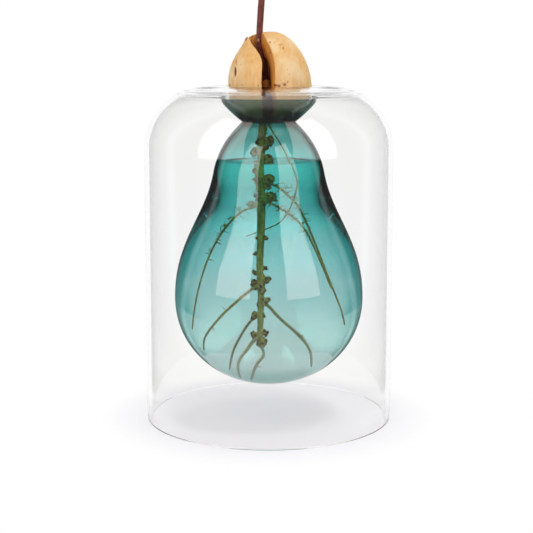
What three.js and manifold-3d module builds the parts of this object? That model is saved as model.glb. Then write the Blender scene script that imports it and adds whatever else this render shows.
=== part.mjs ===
// A germination vase. A clear glass dome stands on its open foot and carries a coloured glass vessel,
// fused to it at the mouth. A split seed sits in the vessel's dish and hangs its roots into the bulb.
// Millimetres, +Z up. The origin is the centre of the dome's foot, and -Y is the front.
import * as THREE from "three";
import { mergeVertices } from "three/addons/utils/BufferGeometryUtils.js";
import Module from "manifold-3d";

const wasm = await Module();
wasm.setup();

// Clear dome
const domeRadius = 60; // outside of the straight wall
const domeHeight = 162; // foot to the ridge round the mouth
const domeWall = 2.2;
const shoulderDrop = 30; // ridge down to where the wall is straight
const footRound = 0.6; // fire-polished edges of the foot
const lipWidth = 9.2; // mouth out to the ridge
const lipDrop = 6; // ridge down to the fused seam

// Coloured vessel
const mouthRadius = 20.8; // inside of the mouth at the fused seam
const vesselWall = 1.8;
const dishDepth = 10.8; // fused seam down to the pinched neck
const neckRadius = 12.8; // outside of the neck
const neckBead = 1.3; // extra glass where the neck was pinched
const neckBeadReach = 6; // how far above and below the neck it thins out
const flankRadius = 26.9; // outside of the slope under the neck
const flankDrop = 24.7; // neck down to that slope
const flankSlope = 0.18; // outward run for each millimetre down the slope
const bulbGap = 11.8; // widest ring of the bulb to the inside of the dome
const bellyRise = 42.9; // underside of the bulb up to its widest ring
const floorGap = 16.8; // underside of the bulb above the table

// Seed, in two halves that have opened towards the front
const leftRadius = 17.4;
const rightRadius = 18.6;
const seedBase = 15; // widest ring down to the blunt end
const leftCrown = 25.5; // widest ring up to the point
const rightCrown = 27;
const leftPoint = 0.13; // steepness of the tip, 0 for a round one
const rightPoint = 0;
const seedShift = 0.8; // seed's axis to the right of the vessel's axis
const seatClearance = 0.3; // seed to the dish
const cleftShift = -4; // split plane from the seed's axis
const cleftTurn = 11; // degrees, so that the right half shows its inner face
const leftSwing = 1; // degrees that the left half has swung open
const rightSwing = 7; // degrees that the right half has swung open
const leftLean = 9.5; // degrees that the left half leans outwards
const rightLean = -4; // degrees that the right half leans outwards
const leftShift = 1.4; // how far the left half has moved away
const cleftGap = 0.4; // between the halves where they still meet, at the back
const hollowDepth = 3.2; // hollow in each inner face, where the embryo lay
const hollowHeight = 30;
const hollowWidth = 20;

// Stem and root collar
const collarRadius = 3.1;
const collarShift = 1.3; // towards the half that has swung further
const collarRise = 1.5; // above the seed's widest ring
const stemRadius = 1.6;
const stemTipRadius = 1.35;
const stemHeight = 50; // above the root collar
const budLength = 11;
const budRadius = 1.9;
const joinGap = 0.3; // between pieces of the plant that grow from each other

// Roots
const tapRadius = 1.55; // at the root collar
const tapTipRadius = 0.85; // at the lower end
const tapReach = 0.81; // share of the way from the neck to the floor of the bulb
const rootWallGap = 1; // least distance of a root from the glass
const rootletRadius = 0.26;

// Fineness of the meshes: sides round an axis, and steps along an outline
const glassSides = 40;
const seedSides = 28;
const hollowSides = 16;
const collarSides = 14;
const stemSides = 10;
const tapSides = 8;
const rootSides = 6;
const rootletSides = 4;
const footSteps = 2;
const shoulderSteps = 9;
const lipSteps = 5;
const bottomSteps = 10;
const bellySteps = 8;
const neckSteps = 6;
const dishSteps = 4;
const seedBaseSteps = 7;
const seedCrownSteps = 9;
const hollowSteps = 10;
const collarSteps = 8;
const budSteps = 9;
const rootletSteps = 2;
const leastRootSteps = 4;
const rootStep = 4.5; // length of one step along a root
const sameSpot = 1e-4; // corners closer than this are one

const clearGlass = new THREE.MeshStandardMaterial({
  color: 0xeef4f3,
  roughness: 0.02,
  metalness: 0,
  transparent: true,
  opacity: 0.25,
});
const tealGlass = new THREE.MeshStandardMaterial({
  color: 0x3fa9a3,
  roughness: 0.03,
  metalness: 0,
  transparent: true,
  opacity: 0.55,
});
const seedFlesh = new THREE.MeshStandardMaterial({ color: 0xe2b579, roughness: 0.6, metalness: 0 });
const collarFlesh = new THREE.MeshStandardMaterial({ color: 0x7a4a1e, roughness: 0.8, metalness: 0 });
const stemBark = new THREE.MeshStandardMaterial({ color: 0x5e2527, roughness: 0.55, metalness: 0 });
const budSkin = new THREE.MeshStandardMaterial({ color: 0x74402c, roughness: 0.6, metalness: 0 });
const rootSkin = new THREE.MeshStandardMaterial({ color: 0x66763a, roughness: 0.7, metalness: 0 });

const vase = new THREE.Group();
const seedling = new THREE.Group();
vase.add(seedling);

const radians = THREE.MathUtils.degToRad;

function addMesh(parent, name, geometry, material) {
  const mesh = new THREE.Mesh(geometry, material);
  mesh.name = name;
  parent.add(mesh);
  return mesh;
}

// Solids for joining and cutting

function toSolid(geometry) {
  const bare = geometry.clone();
  bare.deleteAttribute("normal");
  bare.deleteAttribute("uv");
  const merged = mergeVertices(bare, sameSpot);
  const mesh = new wasm.Mesh({
    numProp: 3,
    vertProperties: merged.attributes.position.array,
    triVerts: new Uint32Array(merged.index.array),
  });
  return new wasm.Manifold(mesh);
}

function toGeometry(solid) {
  const mesh = solid.getMesh();
  const geometry = new THREE.BufferGeometry();
  geometry.setAttribute("position", new THREE.BufferAttribute(new Float32Array(mesh.vertProperties), 3));
  geometry.setIndex(new THREE.BufferAttribute(new Uint32Array(mesh.triVerts), 1));
  geometry.computeVertexNormals();
  return geometry;
}

// The largest of the bodies that a cut leaves.
function mainBody(solid) {
  return solid.decompose().reduce((best, body) => (body.volume() > best.volume() ? body : best));
}

// Profiles are lists of (radius, height), turned about the Z axis.
function turned(profile, sides) {
  return new THREE.LatheGeometry(profile, sides).rotateX(Math.PI / 2);
}

function ellipseArc(radius, height, across, up, from, to, steps) {
  return new THREE.EllipseCurve(radius, height, across, up, from, to, to < from).getPoints(steps);
}

function easedCurve(start, startHandle, endHandle, end, steps) {
  const handle = (point, [across, up]) => new THREE.Vector2(point.x + across, point.y + up);
  return new THREE.CubicBezierCurve(
    start,
    handle(start, startHandle),
    handle(end, endHandle),
    end,
  ).getPoints(steps);
}

// A profile that runs up the outside, moved in by the wall's thickness at each point.
function inset(profile, thicknessAt) {
  return profile.map((point, i) => {
    const before = profile[Math.max(i - 1, 0)];
    const after = profile[Math.min(i + 1, profile.length - 1)];
    const along = after.clone().sub(before).normalize();
    const thickness = thicknessAt(point);
    return new THREE.Vector2(point.x - along.y * thickness, point.y + along.x * thickness);
  });
}

// Tapered round tubes along a curve, closed at both ends

function taperedTube(curve, startRadius, endRadius, sides, steps, tipLength = endRadius) {
  const frames = curve.computeFrenetFrames(steps, false);
  const corners = [];
  const faces = [];
  for (let i = 0; i <= steps; i++) {
    const centre = curve.getPointAt(i / steps);
    const radius = THREE.MathUtils.lerp(startRadius, endRadius, i / steps);
    for (let j = 0; j < sides; j++) {
      const angle = (2 * Math.PI * j) / sides;
      const corner = centre.clone();
      corner.addScaledVector(frames.normals[i], radius * Math.cos(angle));
      corner.addScaledVector(frames.binormals[i], radius * Math.sin(angle));
      corners.push(corner);
    }
  }
  const first = corners.push(curve.getPointAt(0)) - 1;
  const tip = curve.getPointAt(1).addScaledVector(curve.getTangentAt(1), tipLength);
  const last = corners.push(tip) - 1;
  for (let j = 0; j < sides; j++) {
    const next = (j + 1) % sides;
    faces.push(first, next, j, last, steps * sides + j, steps * sides + next);
    for (let i = 0; i < steps; i++) {
      const [a, b] = [i * sides + j, i * sides + next];
      faces.push(a, b, a + sides, b, b + sides, a + sides);
    }
  }
  return new THREE.BufferGeometry().setFromPoints(corners).setIndex(faces);
}

function stepsAlong(curve) {
  return Math.max(leastRootSteps, Math.round(curve.getLength() / rootStep));
}

// Clear dome

const seamHeight = domeHeight - lipDrop;
const ridgeRadius = mouthRadius + lipWidth;
const straightHeight = domeHeight - shoulderDrop;

function domeProfile() {
  const inside = domeRadius - domeWall;
  const quarter = Math.PI / 2;
  return [
    ...ellipseArc(domeRadius - footRound, footRound, footRound, footRound, -quarter, 0, footSteps),
    ...ellipseArc(
      ridgeRadius,
      straightHeight,
      domeRadius - ridgeRadius,
      shoulderDrop,
      0,
      quarter,
      shoulderSteps,
    ),
    ...ellipseArc(ridgeRadius, seamHeight, lipWidth, lipDrop, quarter, Math.PI, lipSteps).slice(1),
    ...ellipseArc(
      ridgeRadius,
      seamHeight,
      lipWidth - domeWall,
      lipDrop - domeWall,
      Math.PI,
      quarter,
      lipSteps,
    ),
    ...ellipseArc(
      ridgeRadius,
      straightHeight,
      inside - ridgeRadius,
      shoulderDrop - domeWall,
      quarter,
      0,
      shoulderSteps,
    ).slice(1),
    ...ellipseArc(
      inside + footRound,
      footRound,
      footRound,
      footRound,
      Math.PI,
      Math.PI + quarter,
      footSteps,
    ),
    new THREE.Vector2(domeRadius - footRound, 0),
  ];
}

addMesh(vase, "outer_dome", turned(domeProfile(), glassSides), clearGlass);

// Coloured vessel

const neckHeight = seamHeight - dishDepth;
const bellyRadius = domeRadius - domeWall - bulbGap;
const bellyHeight = floorGap + bellyRise;
const rim = new THREE.Vector2(mouthRadius + vesselWall, seamHeight);
const neck = new THREE.Vector2(neckRadius, neckHeight);
const flank = new THREE.Vector2(flankRadius, neckHeight - flankDrop);
const belly = new THREE.Vector2(bellyRadius, bellyHeight);
const underside = new THREE.Vector2(0, floorGap);

// Lengths of the curves' handles, as shares of the stretch that each one shapes.
const bottomEase = 0.55;
const lowerBellyEase = 0.59;
const upperBellyEase = 0.45;
const flankEase = 0.35;
const shoulderEase = 0.51;
const neckFlare = 0.28;
const dishFlare = 0.28;
const dishEase = 0.2;

// Outside of the vessel, from the middle of its underside up to the fused rim.
function vesselOutside() {
  const flankHeight = flank.y - belly.y;
  const flare = neckFlare * (flank.x - neck.x);
  const dishRun = rim.x - neck.x;
  return [
    ...easedCurve(
      underside,
      [bottomEase * belly.x, 0],
      [0, -lowerBellyEase * bellyRise],
      belly,
      bottomSteps,
    ),
    ...easedCurve(
      belly,
      [0, upperBellyEase * flankHeight],
      [flankSlope * flankEase * flankHeight, -flankEase * flankHeight],
      flank,
      bellySteps,
    ).slice(1),
    ...easedCurve(
      flank,
      [-flankSlope * shoulderEase * flankDrop, shoulderEase * flankDrop],
      [flare, -flare],
      neck,
      neckSteps,
    ).slice(1),
    ...easedCurve(
      neck,
      [dishFlare * dishRun, dishEase * dishDepth],
      [0, -dishEase * dishDepth],
      rim,
      dishSteps,
    ).slice(1),
  ];
}

const outside = vesselOutside();
const insideWall = inset(outside, ({ y }) => {
  const nearness = Math.max(0, 1 - Math.abs(y - neckHeight) / neckBeadReach);
  return vesselWall + neckBead * nearness ** 2;
});
insideWall[0].set(0, floorGap + vesselWall);
insideWall[insideWall.length - 1].set(mouthRadius, seamHeight);
addMesh(vase, "pear_vessel", turned([...outside, ...insideWall.toReversed()], glassSides), tealGlass);

// Value of a line of points at a place, along the axis that "from" names.
function readOff(points, place, from, to) {
  const above = points.findIndex((point) => point[from] >= place);
  if (above <= 0) return points[above === 0 ? 0 : points.length - 1][to];
  const low = points[above - 1];
  const high = points[above];
  return THREE.MathUtils.mapLinear(place, low[from], high[from], low[to], high[to]);
}

function vesselInnerRadius(height) {
  return readOff(insideWall, height, "y", "x");
}

// Upper surface that a seed can rest on: the dish, and then the dome's lip.
const neckIndex = outside.findIndex((point) => point.distanceTo(neck) < sameSpot);
const neckHole = insideWall[neckIndex].x;
const dishSurface = [
  ...insideWall.slice(neckIndex),
  ...ellipseArc(ridgeRadius, seamHeight, lipWidth, lipDrop, Math.PI, Math.PI / 2, lipSteps).slice(1),
];

// Seed

const roundEase = 0.55; // length of a round curve's handles, as a share of its radius
const crownEase = 0.5;
const splitSide = 4 * rightRadius;

function wholeSeed({ radius, crown, point }) {
  const widest = new THREE.Vector2(radius, 0);
  const blunt = new THREE.Vector2(0, -seedBase);
  const tip = new THREE.Vector2(0, crown);
  const profile = [
    ...easedCurve(blunt, [roundEase * radius, 0], [0, -roundEase * seedBase], widest, seedBaseSteps),
    ...easedCurve(
      widest,
      [0, crownEase * crown],
      [roundEase * radius, -point * crown],
      tip,
      seedCrownSteps,
    ).slice(1),
  ];
  return toSolid(turned(profile, seedSides));
}

// One half, with its hollow. The split plane is the YZ plane through cleftShift, and side is -1 or 1.
function seedHalf(side, shape) {
  const away = new THREE.BoxGeometry(splitSide, splitSide, splitSide);
  away.translate(cleftShift + side * (cleftGap / 2 - splitSide / 2), 0, 0);
  const hollow = new THREE.SphereGeometry(1, hollowSides, hollowSteps);
  hollow.scale(hollowDepth, hollowWidth / 2, hollowHeight / 2);
  hollow.translate(cleftShift + (side * cleftGap) / 2, 0, 0);
  return wholeSeed(shape).subtract(toSolid(away)).subtract(toSolid(hollow));
}

const seed = new THREE.Group();
seed.position.x = seedShift;
seed.rotation.z = radians(cleftTurn);
seedling.add(seed);

// A half turns about the upright line where the halves still meet, and leans about its own foot.
function addHalf(name, side, shape, { swing, lean, shift }) {
  const hinge = new THREE.Vector3(cleftShift, Math.sqrt(rightRadius ** 2 - cleftShift ** 2), -seedBase / 2);
  const pivot = new THREE.Group();
  pivot.position.copy(hinge);
  pivot.position.x += side * shift;
  pivot.rotation.set(0, radians(side * lean), radians(side * swing));
  seed.add(pivot);
  const half = addMesh(pivot, name, toGeometry(seedHalf(side, shape)), seedFlesh);
  half.position.copy(hinge).negate();
  return half;
}

const halves = [
  addHalf(
    "cotyledon_left",
    -1,
    { radius: leftRadius, crown: leftCrown, point: leftPoint },
    { swing: leftSwing, lean: leftLean, shift: leftShift },
  ),
  addHalf(
    "cotyledon_right",
    1,
    { radius: rightRadius, crown: rightCrown, point: rightPoint },
    { swing: rightSwing, lean: rightLean, shift: 0 },
  ),
];

// Lowest height of the seed's widest ring at which both halves clear the glass.
function seatHeight() {
  vase.updateMatrixWorld(true);
  const point = new THREE.Vector3();
  let height = -Infinity;
  for (const half of halves) {
    const corners = half.geometry.attributes.position;
    for (let i = 0; i < corners.count; i++) {
      point.fromBufferAttribute(corners, i).applyMatrix4(half.matrixWorld);
      const radius = Math.hypot(point.x, point.y);
      if (radius < neckHole || radius > ridgeRadius) continue;
      height = Math.max(height, readOff(dishSurface, radius, "x", "y") + seatClearance - point.z);
    }
  }
  return height;
}

const seedHeight = seatHeight();
seed.position.z = seedHeight;

// Root collar, between the halves

const axisX = seedShift + cleftShift * Math.cos(radians(cleftTurn));
const collarX = axisX + collarShift;
const collarTop = seedHeight + collarRise;
const collarFoot = seedHeight - seedBase;

function collarGeometry(extra) {
  const middle = (collarTop + collarFoot) / 2;
  const half = (collarTop - collarFoot) / 2;
  const profile = [
    new THREE.Vector2(0, collarFoot - extra),
    new THREE.Vector2(tapRadius + extra, collarFoot - extra),
    ...new THREE.EllipseCurve(
      tapRadius + extra,
      middle,
      collarRadius - tapRadius,
      half + extra,
      -Math.PI / 2,
      Math.PI / 2,
    ).getPoints(collarSteps),
    new THREE.Vector2(0, collarTop + extra),
  ];
  return turned(profile, collarSides).translate(collarX, 0, 0);
}

addMesh(seedling, "root_collar", collarGeometry(0), collarFlesh);

// Stem and its bud

// Bends of the stem: share of its height, and how far it stands to the right of the root collar.
const stemBends = [
  [0, 0.4],
  [0.1, 0.2],
  [0.2, -0.8],
  [0.3, -1.8],
  [0.4, -2.5],
  [0.5, -2.6],
  [0.8, -1.6],
  [1, -0.9],
];

function stemCurve() {
  const foot = collarTop + joinGap;
  return new THREE.CatmullRomCurve3(
    stemBends.map(([up, right]) => new THREE.Vector3(collarX + right, 0, foot + up * stemHeight)),
  );
}

// Handles of the bud's outline, as shares of its radius and of its length.
const budSwell = [1.5, 0.3];
const budTaper = [0.7, 0.7];

function budGeometry() {
  const handle = ([across, up]) => new THREE.Vector2(across * budRadius, up * budLength);
  const outline = new THREE.CubicBezierCurve(
    new THREE.Vector2(stemTipRadius, 0),
    handle(budSwell),
    handle(budTaper),
    new THREE.Vector2(0, budLength),
  );
  return turned([new THREE.Vector2(0, 0), ...outline.getPoints(budSteps)], stemSides);
}

const stemLine = stemCurve();

function stemGeometry(extra) {
  const radii = [stemRadius + extra, stemTipRadius + extra];
  return taperedTube(stemLine, ...radii, stemSides, stepsAlong(stemLine), 0);
}

addMesh(seedling, "stem", stemGeometry(0), stemBark);
const bud = addMesh(seedling, "shoot_tip", budGeometry(), budSkin);
const stemEnd = stemLine.getTangentAt(1);
bud.quaternion.setFromUnitVectors(new THREE.Vector3(0, 0, 1), stemEnd);
bud.position.copy(stemLine.getPointAt(1)).addScaledVector(stemEnd, joinGap);

// The collar and the stem have pressed their room into the halves.
const growingRoom = toSolid(collarGeometry(joinGap)).add(toSolid(stemGeometry(joinGap)));
vase.updateMatrixWorld(true);
for (const half of halves) {
  const room = toGeometry(growingRoom).applyMatrix4(half.matrixWorld.clone().invert());
  half.geometry = toGeometry(mainBody(toSolid(half.geometry).subtract(toSolid(room))));
}

// Places inside the bulb. Drop is the share of the way from the neck to the bulb's floor, reach the
// share of the free radius at that height, and turn the direction in degrees, 0 to the right.

const bulbFloor = floorGap + vesselWall;

function dropHeight(drop) {
  return THREE.MathUtils.lerp(neckHeight, bulbFloor, drop);
}

function placeInBulb([drop, reach, turn]) {
  const height = dropHeight(drop);
  const radius = reach * (vesselInnerRadius(height) - rootWallGap);
  return new THREE.Vector3(radius * Math.cos(radians(turn)), radius * Math.sin(radians(turn)), height);
}

// Tap root. It sways a little round the collar's axis: each entry is the share of its length, and how
// far it stands to the right and to the back of that axis.
const tapSway = [
  [0.06, -0.2, 0],
  [0.16, -0.7, -0.3],
  [0.22, -0.6, -0.1],
  [0.3, -0.1, 0.2],
  [0.4, 0.2, 0.3],
  [0.54, 0.3, 0.1],
  [0.7, -0.2, -0.2],
  [0.83, 0.2, 0.1],
  [1, -0.1, 0],
];

const tapTop = collarFoot - joinGap;
const tapFoot = dropHeight(tapReach);
const tapLine = new THREE.CatmullRomCurve3([
  new THREE.Vector3((axisX + collarX) / 2, 0, tapTop),
  ...tapSway.map(
    ([share, right, back]) =>
      new THREE.Vector3(axisX + right, back, THREE.MathUtils.lerp(tapTop, tapFoot, share)),
  ),
]);

function tapPlace(drop) {
  const share = (tapTop - dropHeight(drop)) / (tapTop - tapFoot);
  return tapLine.getPointAt(THREE.MathUtils.clamp(share, 0, 1));
}

// Clusters of knobs on the tap root: drop, turn, distance of the middle from the root's axis, radius of
// the whole cluster and how many small knobs sit on it.
const knobClusters = [
  [0.03, -15, 3, 1, 1],
  [0.046, 0, 2.9, 1, 1],
  [0.076, -10, 3.5, 2.5, 7],
  [0.08, 200, 1.9, 0.9, 0],
  [0.102, -20, 2.6, 1.4, 2],
  [0.118, 190, 2.6, 2.3, 6],
  [0.142, -10, 3.8, 2.2, 4],
  [0.164, 185, 2.1, 1.7, 4],
  [0.2, 190, 1.7, 1, 1],
  [0.229, 200, 1.7, 0.9, 1],
  [0.229, -20, 3, 2.6, 7],
  [0.263, -10, 2.4, 1.5, 3],
  [0.3, 190, 1.7, 0.9, 1],
  [0.305, -20, 3, 2.9, 8],
  [0.312, -12, 4.8, 1.5, 4],
  [0.34, 185, 3, 2.2, 4],
  [0.472, -30, 1.4, 1.3, 3],
  [0.474, 170, 1.2, 1, 1],
  [0.531, 190, 1.7, 1, 1],
  [0.58, 0, 1.5, 1, 2],
  [0.597, 185, 1.6, 1.2, 2],
  [0.619, -5, 1.9, 1.7, 4],
  [0.635, 215, 1.6, 2.1, 5],
  [0.656, -70, 0.9, 1.5, 3],
  [0.688, -35, 1.3, 2.1, 5],
  [0.732, 185, 1.7, 1.6, 4],
  [0.735, -20, 1, 0.9, 1],
  [0.782, -10, 1.2, 1.4, 3],
  [0.79, 190, 1.8, 1.4, 3],
  [0.81, -50, 0.5, 2.2, 5],
];
const goldenAngle = 137.5; // degrees between one knob and the next round its cluster
const coreShare = 0.75; // radii of the core, its foot and the knobs, as shares of the cluster's radius
const footShare = 0.7;
const knobShare = 0.45;
const knobSpread = 0.65; // how far out of the core the knobs sit
const footPlace = 0.5; // share of the way from the root's axis to the core

function knobSolid(Shape, centre, radius) {
  return toSolid(new Shape(radius, 0).translate(...centre));
}

// A cluster has a core, a foot that joins it to the root, and small knobs all over its outer side.
function clusterKnobs([drop, turn, out, size, count], extra) {
  const axis = tapPlace(drop);
  const heading = new THREE.Vector3(Math.cos(radians(turn)), Math.sin(radians(turn)), 0);
  const aside = new THREE.Vector3(-heading.y, heading.x, 0);
  const core = axis.clone().addScaledVector(heading, out);
  const knobs = [
    knobSolid(THREE.IcosahedronGeometry, core, coreShare * size + extra),
    knobSolid(THREE.OctahedronGeometry, axis.clone().lerp(core, footPlace), footShare * size + extra),
  ];
  for (let i = 0; i < count; i++) {
    const angle = radians(i * goldenAngle);
    const forward = (i + 0.5) / count;
    const around = Math.sqrt(1 - forward ** 2) * size * knobSpread;
    const centre = core.clone().addScaledVector(heading, forward * size * knobSpread);
    centre.addScaledVector(aside, around * Math.cos(angle));
    centre.z += around * Math.sin(angle);
    knobs.push(knobSolid(THREE.OctahedronGeometry, centre, knobShare * size + extra));
  }
  return knobs;
}

function tapSolid(extra) {
  const core = taperedTube(tapLine, tapRadius + extra, tapTipRadius + extra, tapSides, stepsAlong(tapLine));
  const knobs = knobClusters.flatMap((cluster) => clusterKnobs(cluster, extra));
  return mainBody(knobs.reduce((root, knob) => root.add(knob), toSolid(core)));
}

addMesh(seedling, "tap_root", toGeometry(tapSolid(0)), rootSkin);

// Side roots. Each one leaves the tap root at its first drop, and its route is a list of places in the
// bulb. A rootlet is the share along the root where it sits, and its run to the right, back and up.
const sideRoots = {
  thread_root: {
    leaves: 0.01,
    radii: [0.38, 0.26],
    route: [
      [0.015, 0.3, 271],
      [0.047, 0.63, 285],
      [0.086, 0.82, 292],
      [0.131, 0.89, 297],
      [0.166, 0.9, 300],
      [0.2, 0.86, 305],
      [0.231, 0.74, 311],
      [0.266, 0.54, 320],
      [0.322, 0.31, 354],
      [0.373, 0.27, 35],
      [0.431, 0.25, 65],
      [0.456, 0.21, 103],
      [0.477, 0.25, 148],
    ],
    rootlets: [],
  },
  left_upper_root: {
    leaves: 0.335,
    radii: [0.5, 0.28],
    route: [
      [0.346, 0.21, 189],
      [0.369, 0.34, 191],
      [0.438, 0.5, 193],
      [0.538, 0.59, 192],
      [0.652, 0.64, 188],
      [0.774, 0.72, 186],
    ],
    rootlets: [
      [0.14, -2.4, -0.5, 3.4],
      [0.19, -3, -0.8, -0.7],
      [0.27, -2.6, 0.8, -0.7],
      [0.36, -1.1, -0.5, 0.2],
    ],
  },
  right_upper_root: {
    leaves: 0.245,
    radii: [0.5, 0.28],
    route: [
      [0.253, 0.11, 46],
      [0.292, 0.24, 27],
      [0.332, 0.34, 23],
      [0.393, 0.39, 18],
      [0.454, 0.42, 15],
      [0.52, 0.45, 13],
      [0.645, 0.54, 7],
      [0.731, 0.64, 2],
      [0.763, 0.68, 0],
    ],
    rootlets: [
      [0.08, 3, 0.5, 1.2],
      [0.12, 4.2, -0.5, 0.7],
      [0.21, 1.7, 0.8, 0.6],
      [0.27, 1.5, -0.8, 0.5],
    ],
  },
  right_middle_root: {
    leaves: 0.325,
    radii: [0.52, 0.28],
    route: [
      [0.331, 0.08, -62],
      [0.354, 0.21, -38],
      [0.38, 0.32, -29],
      [0.407, 0.4, -26],
      [0.446, 0.46, -25],
      [0.539, 0.51, -19],
      [0.638, 0.57, -12],
    ],
    rootlets: [
      [0.16, 2.4, 0.5, 0.9],
      [0.22, 2, -1, 0.9],
      [0.28, 1.9, 1, 0.7],
      [0.33, 1.6, -0.8, 0.6],
    ],
  },
  left_lower_root: {
    leaves: 0.635,
    radii: [0.58, 0.42],
    route: [
      [0.642, 0.14, 200],
      [0.69, 0.35, 207],
      [0.729, 0.49, 206],
      [0.784, 0.67, 204],
      [0.81, 0.73, 202],
      [0.837, 0.76, 202],
    ],
    rootlets: [[0.26, -0.6, 0.3, 1]],
  },
  left_inner_root: {
    leaves: 0.734,
    radii: [0.48, 0.36],
    route: [
      [0.743, 0.14, 160],
      [0.783, 0.26, 146],
      [0.818, 0.35, 145],
      [0.844, 0.42, 145],
      [0.875, 0.45, 149],
    ],
    rootlets: [],
  },
  right_lower_root: {
    leaves: 0.69,
    radii: [0.6, 0.42],
    route: [
      [0.698, 0.05, 113],
      [0.73, 0.1, 64],
      [0.762, 0.21, 52],
      [0.79, 0.32, 44],
      [0.83, 0.45, 35],
      [0.849, 0.47, 31],
      [0.869, 0.47, 29],
    ],
    rootlets: [[0.7, 0.4, 0.4, 1]],
  },
  left_bottom_root: {
    leaves: 0.795,
    radii: [0.7, 0.5],
    route: [
      [0.801, 0.16, 207],
      [0.825, 0.25, 218],
      [0.846, 0.4, 223],
      [0.871, 0.52, 226],
      [0.902, 0.63, 230],
      [0.945, 0.84, 232],
    ],
    rootlets: [],
  },
  right_bottom_root: {
    leaves: 0.815,
    radii: [0.7, 0.58],
    route: [
      [0.828, 0.11, 228],
      [0.832, 0.13, 263],
      [0.851, 0.26, 253],
      [0.877, 0.41, 247],
      [0.912, 0.55, 246],
      [0.955, 0.86, 245],
    ],
    rootlets: [],
  },
};

function rootletSolid(curve, [share, right, back, up]) {
  const foot = curve.getPointAt(share);
  const line = new THREE.LineCurve3(foot, foot.clone().add(new THREE.Vector3(right, back, up)));
  return toSolid(taperedTube(line, rootletRadius, rootletRadius / 2, rootletSides, rootletSteps));
}

function sideRootSolid({ leaves, radii, route, rootlets }) {
  const curve = new THREE.CatmullRomCurve3([tapPlace(leaves), ...route.map(placeInBulb)]);
  const tube = toSolid(taperedTube(curve, radii[0], radii[1], rootSides, stepsAlong(curve)));
  return rootlets.reduce((root, rootlet) => root.add(rootletSolid(curve, rootlet)), tube);
}

const tapRoom = tapSolid(joinGap).add(toSolid(collarGeometry(joinGap)));
for (const [name, root] of Object.entries(sideRoots)) {
  addMesh(seedling, name, toGeometry(mainBody(sideRootSolid(root).subtract(tapRoom))), rootSkin);
}

export default vase;
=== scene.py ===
"""Germination vase: a clear dome, a sea-green vessel with water, and a split seed with its roots in it."""

import logging
import math
from collections import defaultdict
from dataclasses import dataclass
from enum import Enum
from statistics import median
from typing import Any, Callable, Sequence

import bmesh
import bpy
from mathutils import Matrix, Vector, noise


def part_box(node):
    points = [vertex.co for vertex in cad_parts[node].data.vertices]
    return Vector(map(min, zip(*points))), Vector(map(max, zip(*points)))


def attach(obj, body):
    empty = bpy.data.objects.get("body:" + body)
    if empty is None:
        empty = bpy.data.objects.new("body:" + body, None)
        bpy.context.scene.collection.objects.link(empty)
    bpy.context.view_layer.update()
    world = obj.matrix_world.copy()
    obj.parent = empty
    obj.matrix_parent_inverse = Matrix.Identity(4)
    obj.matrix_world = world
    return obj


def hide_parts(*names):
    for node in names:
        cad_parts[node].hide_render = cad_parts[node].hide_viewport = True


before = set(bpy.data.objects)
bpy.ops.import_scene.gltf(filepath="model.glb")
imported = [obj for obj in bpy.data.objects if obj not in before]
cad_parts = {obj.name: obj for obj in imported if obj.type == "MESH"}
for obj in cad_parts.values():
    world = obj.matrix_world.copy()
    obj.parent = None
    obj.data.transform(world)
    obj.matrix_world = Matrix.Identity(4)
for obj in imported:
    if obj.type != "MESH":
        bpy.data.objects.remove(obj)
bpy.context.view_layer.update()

LOG = logging.getLogger("germination_vase")
MM = 0.001
TURN_SIDES = 160  # faces round a turned body
SHARP_ANGLE = math.radians(40)  # edges of turned glass that are sharper than this show as edges
WELD = 0.002 * MM  # corners of a CAD mesh that are closer than this are one
PAIR_ANGLE = 0.7  # limit for pairing a CAD mesh's triangles, in radians

Colour = tuple[float, float, float, float]
Point = tuple[float, float]
Triple = tuple[float, float, float]
Mesh = bpy.types.Mesh
Material = bpy.types.Material
Inputs = dict[str | int, Any]


class Body(Enum):
    """Bodies that a piece can ride on."""

    GLASS = "glassware"
    PLANT = "seedling"


class Slot(Enum):
    """Material slots."""

    CLEAR = "clear_glass"
    TEAL = "teal_glass"
    SEED = "seed_flesh"
    COLLAR = "collar_flesh"
    STEM = "stem_bark"
    BUD = "bud_skin"
    ROOT = "root_skin"


class Side(Enum):
    """The two halves of the seed, by the direction of their inner faces along X."""

    LEFT = 1
    RIGHT = -1


class NubShape(Enum):
    """What grows on a skin."""

    LUMP = "lump"
    THREAD = "thread"


def rgb(code: str) -> Colour:
    """Linear colour of a six-digit screen colour.

    Args:
        code: Red, green and blue as six hexadecimal digits.

    Returns:
        The colour with full opacity.
    """
    parts = [int(code[i : i + 2], 16) / 255 for i in (0, 2, 4)]
    line = [p / 12.92 if p <= 0.04045 else ((p + 0.055) / 1.055) ** 2.4 for p in parts]
    return (line[0], line[1], line[2], 1.0)


# Nodes

FAMILIES = ("ShaderNode", "GeometryNode", "FunctionNode", "")  # what the types of nodes begin with


def operator(operation: str, swapped: bool = False) -> Callable[["Socket", "Value"], "Socket"]:
    """An operator's method, which joins a socket and another value by a Math node.

    Args:
        operation: The Math node's operation.
        swapped: Whether the other value comes first.

    Returns:
        The method.
    """

    def method(self: "Socket", other: "Value") -> "Socket":
        """Result of the Math node."""
        pair = (other, self) if swapped else (self, other)
        return self.board.calculate(operation, *pair)

    return method


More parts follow.
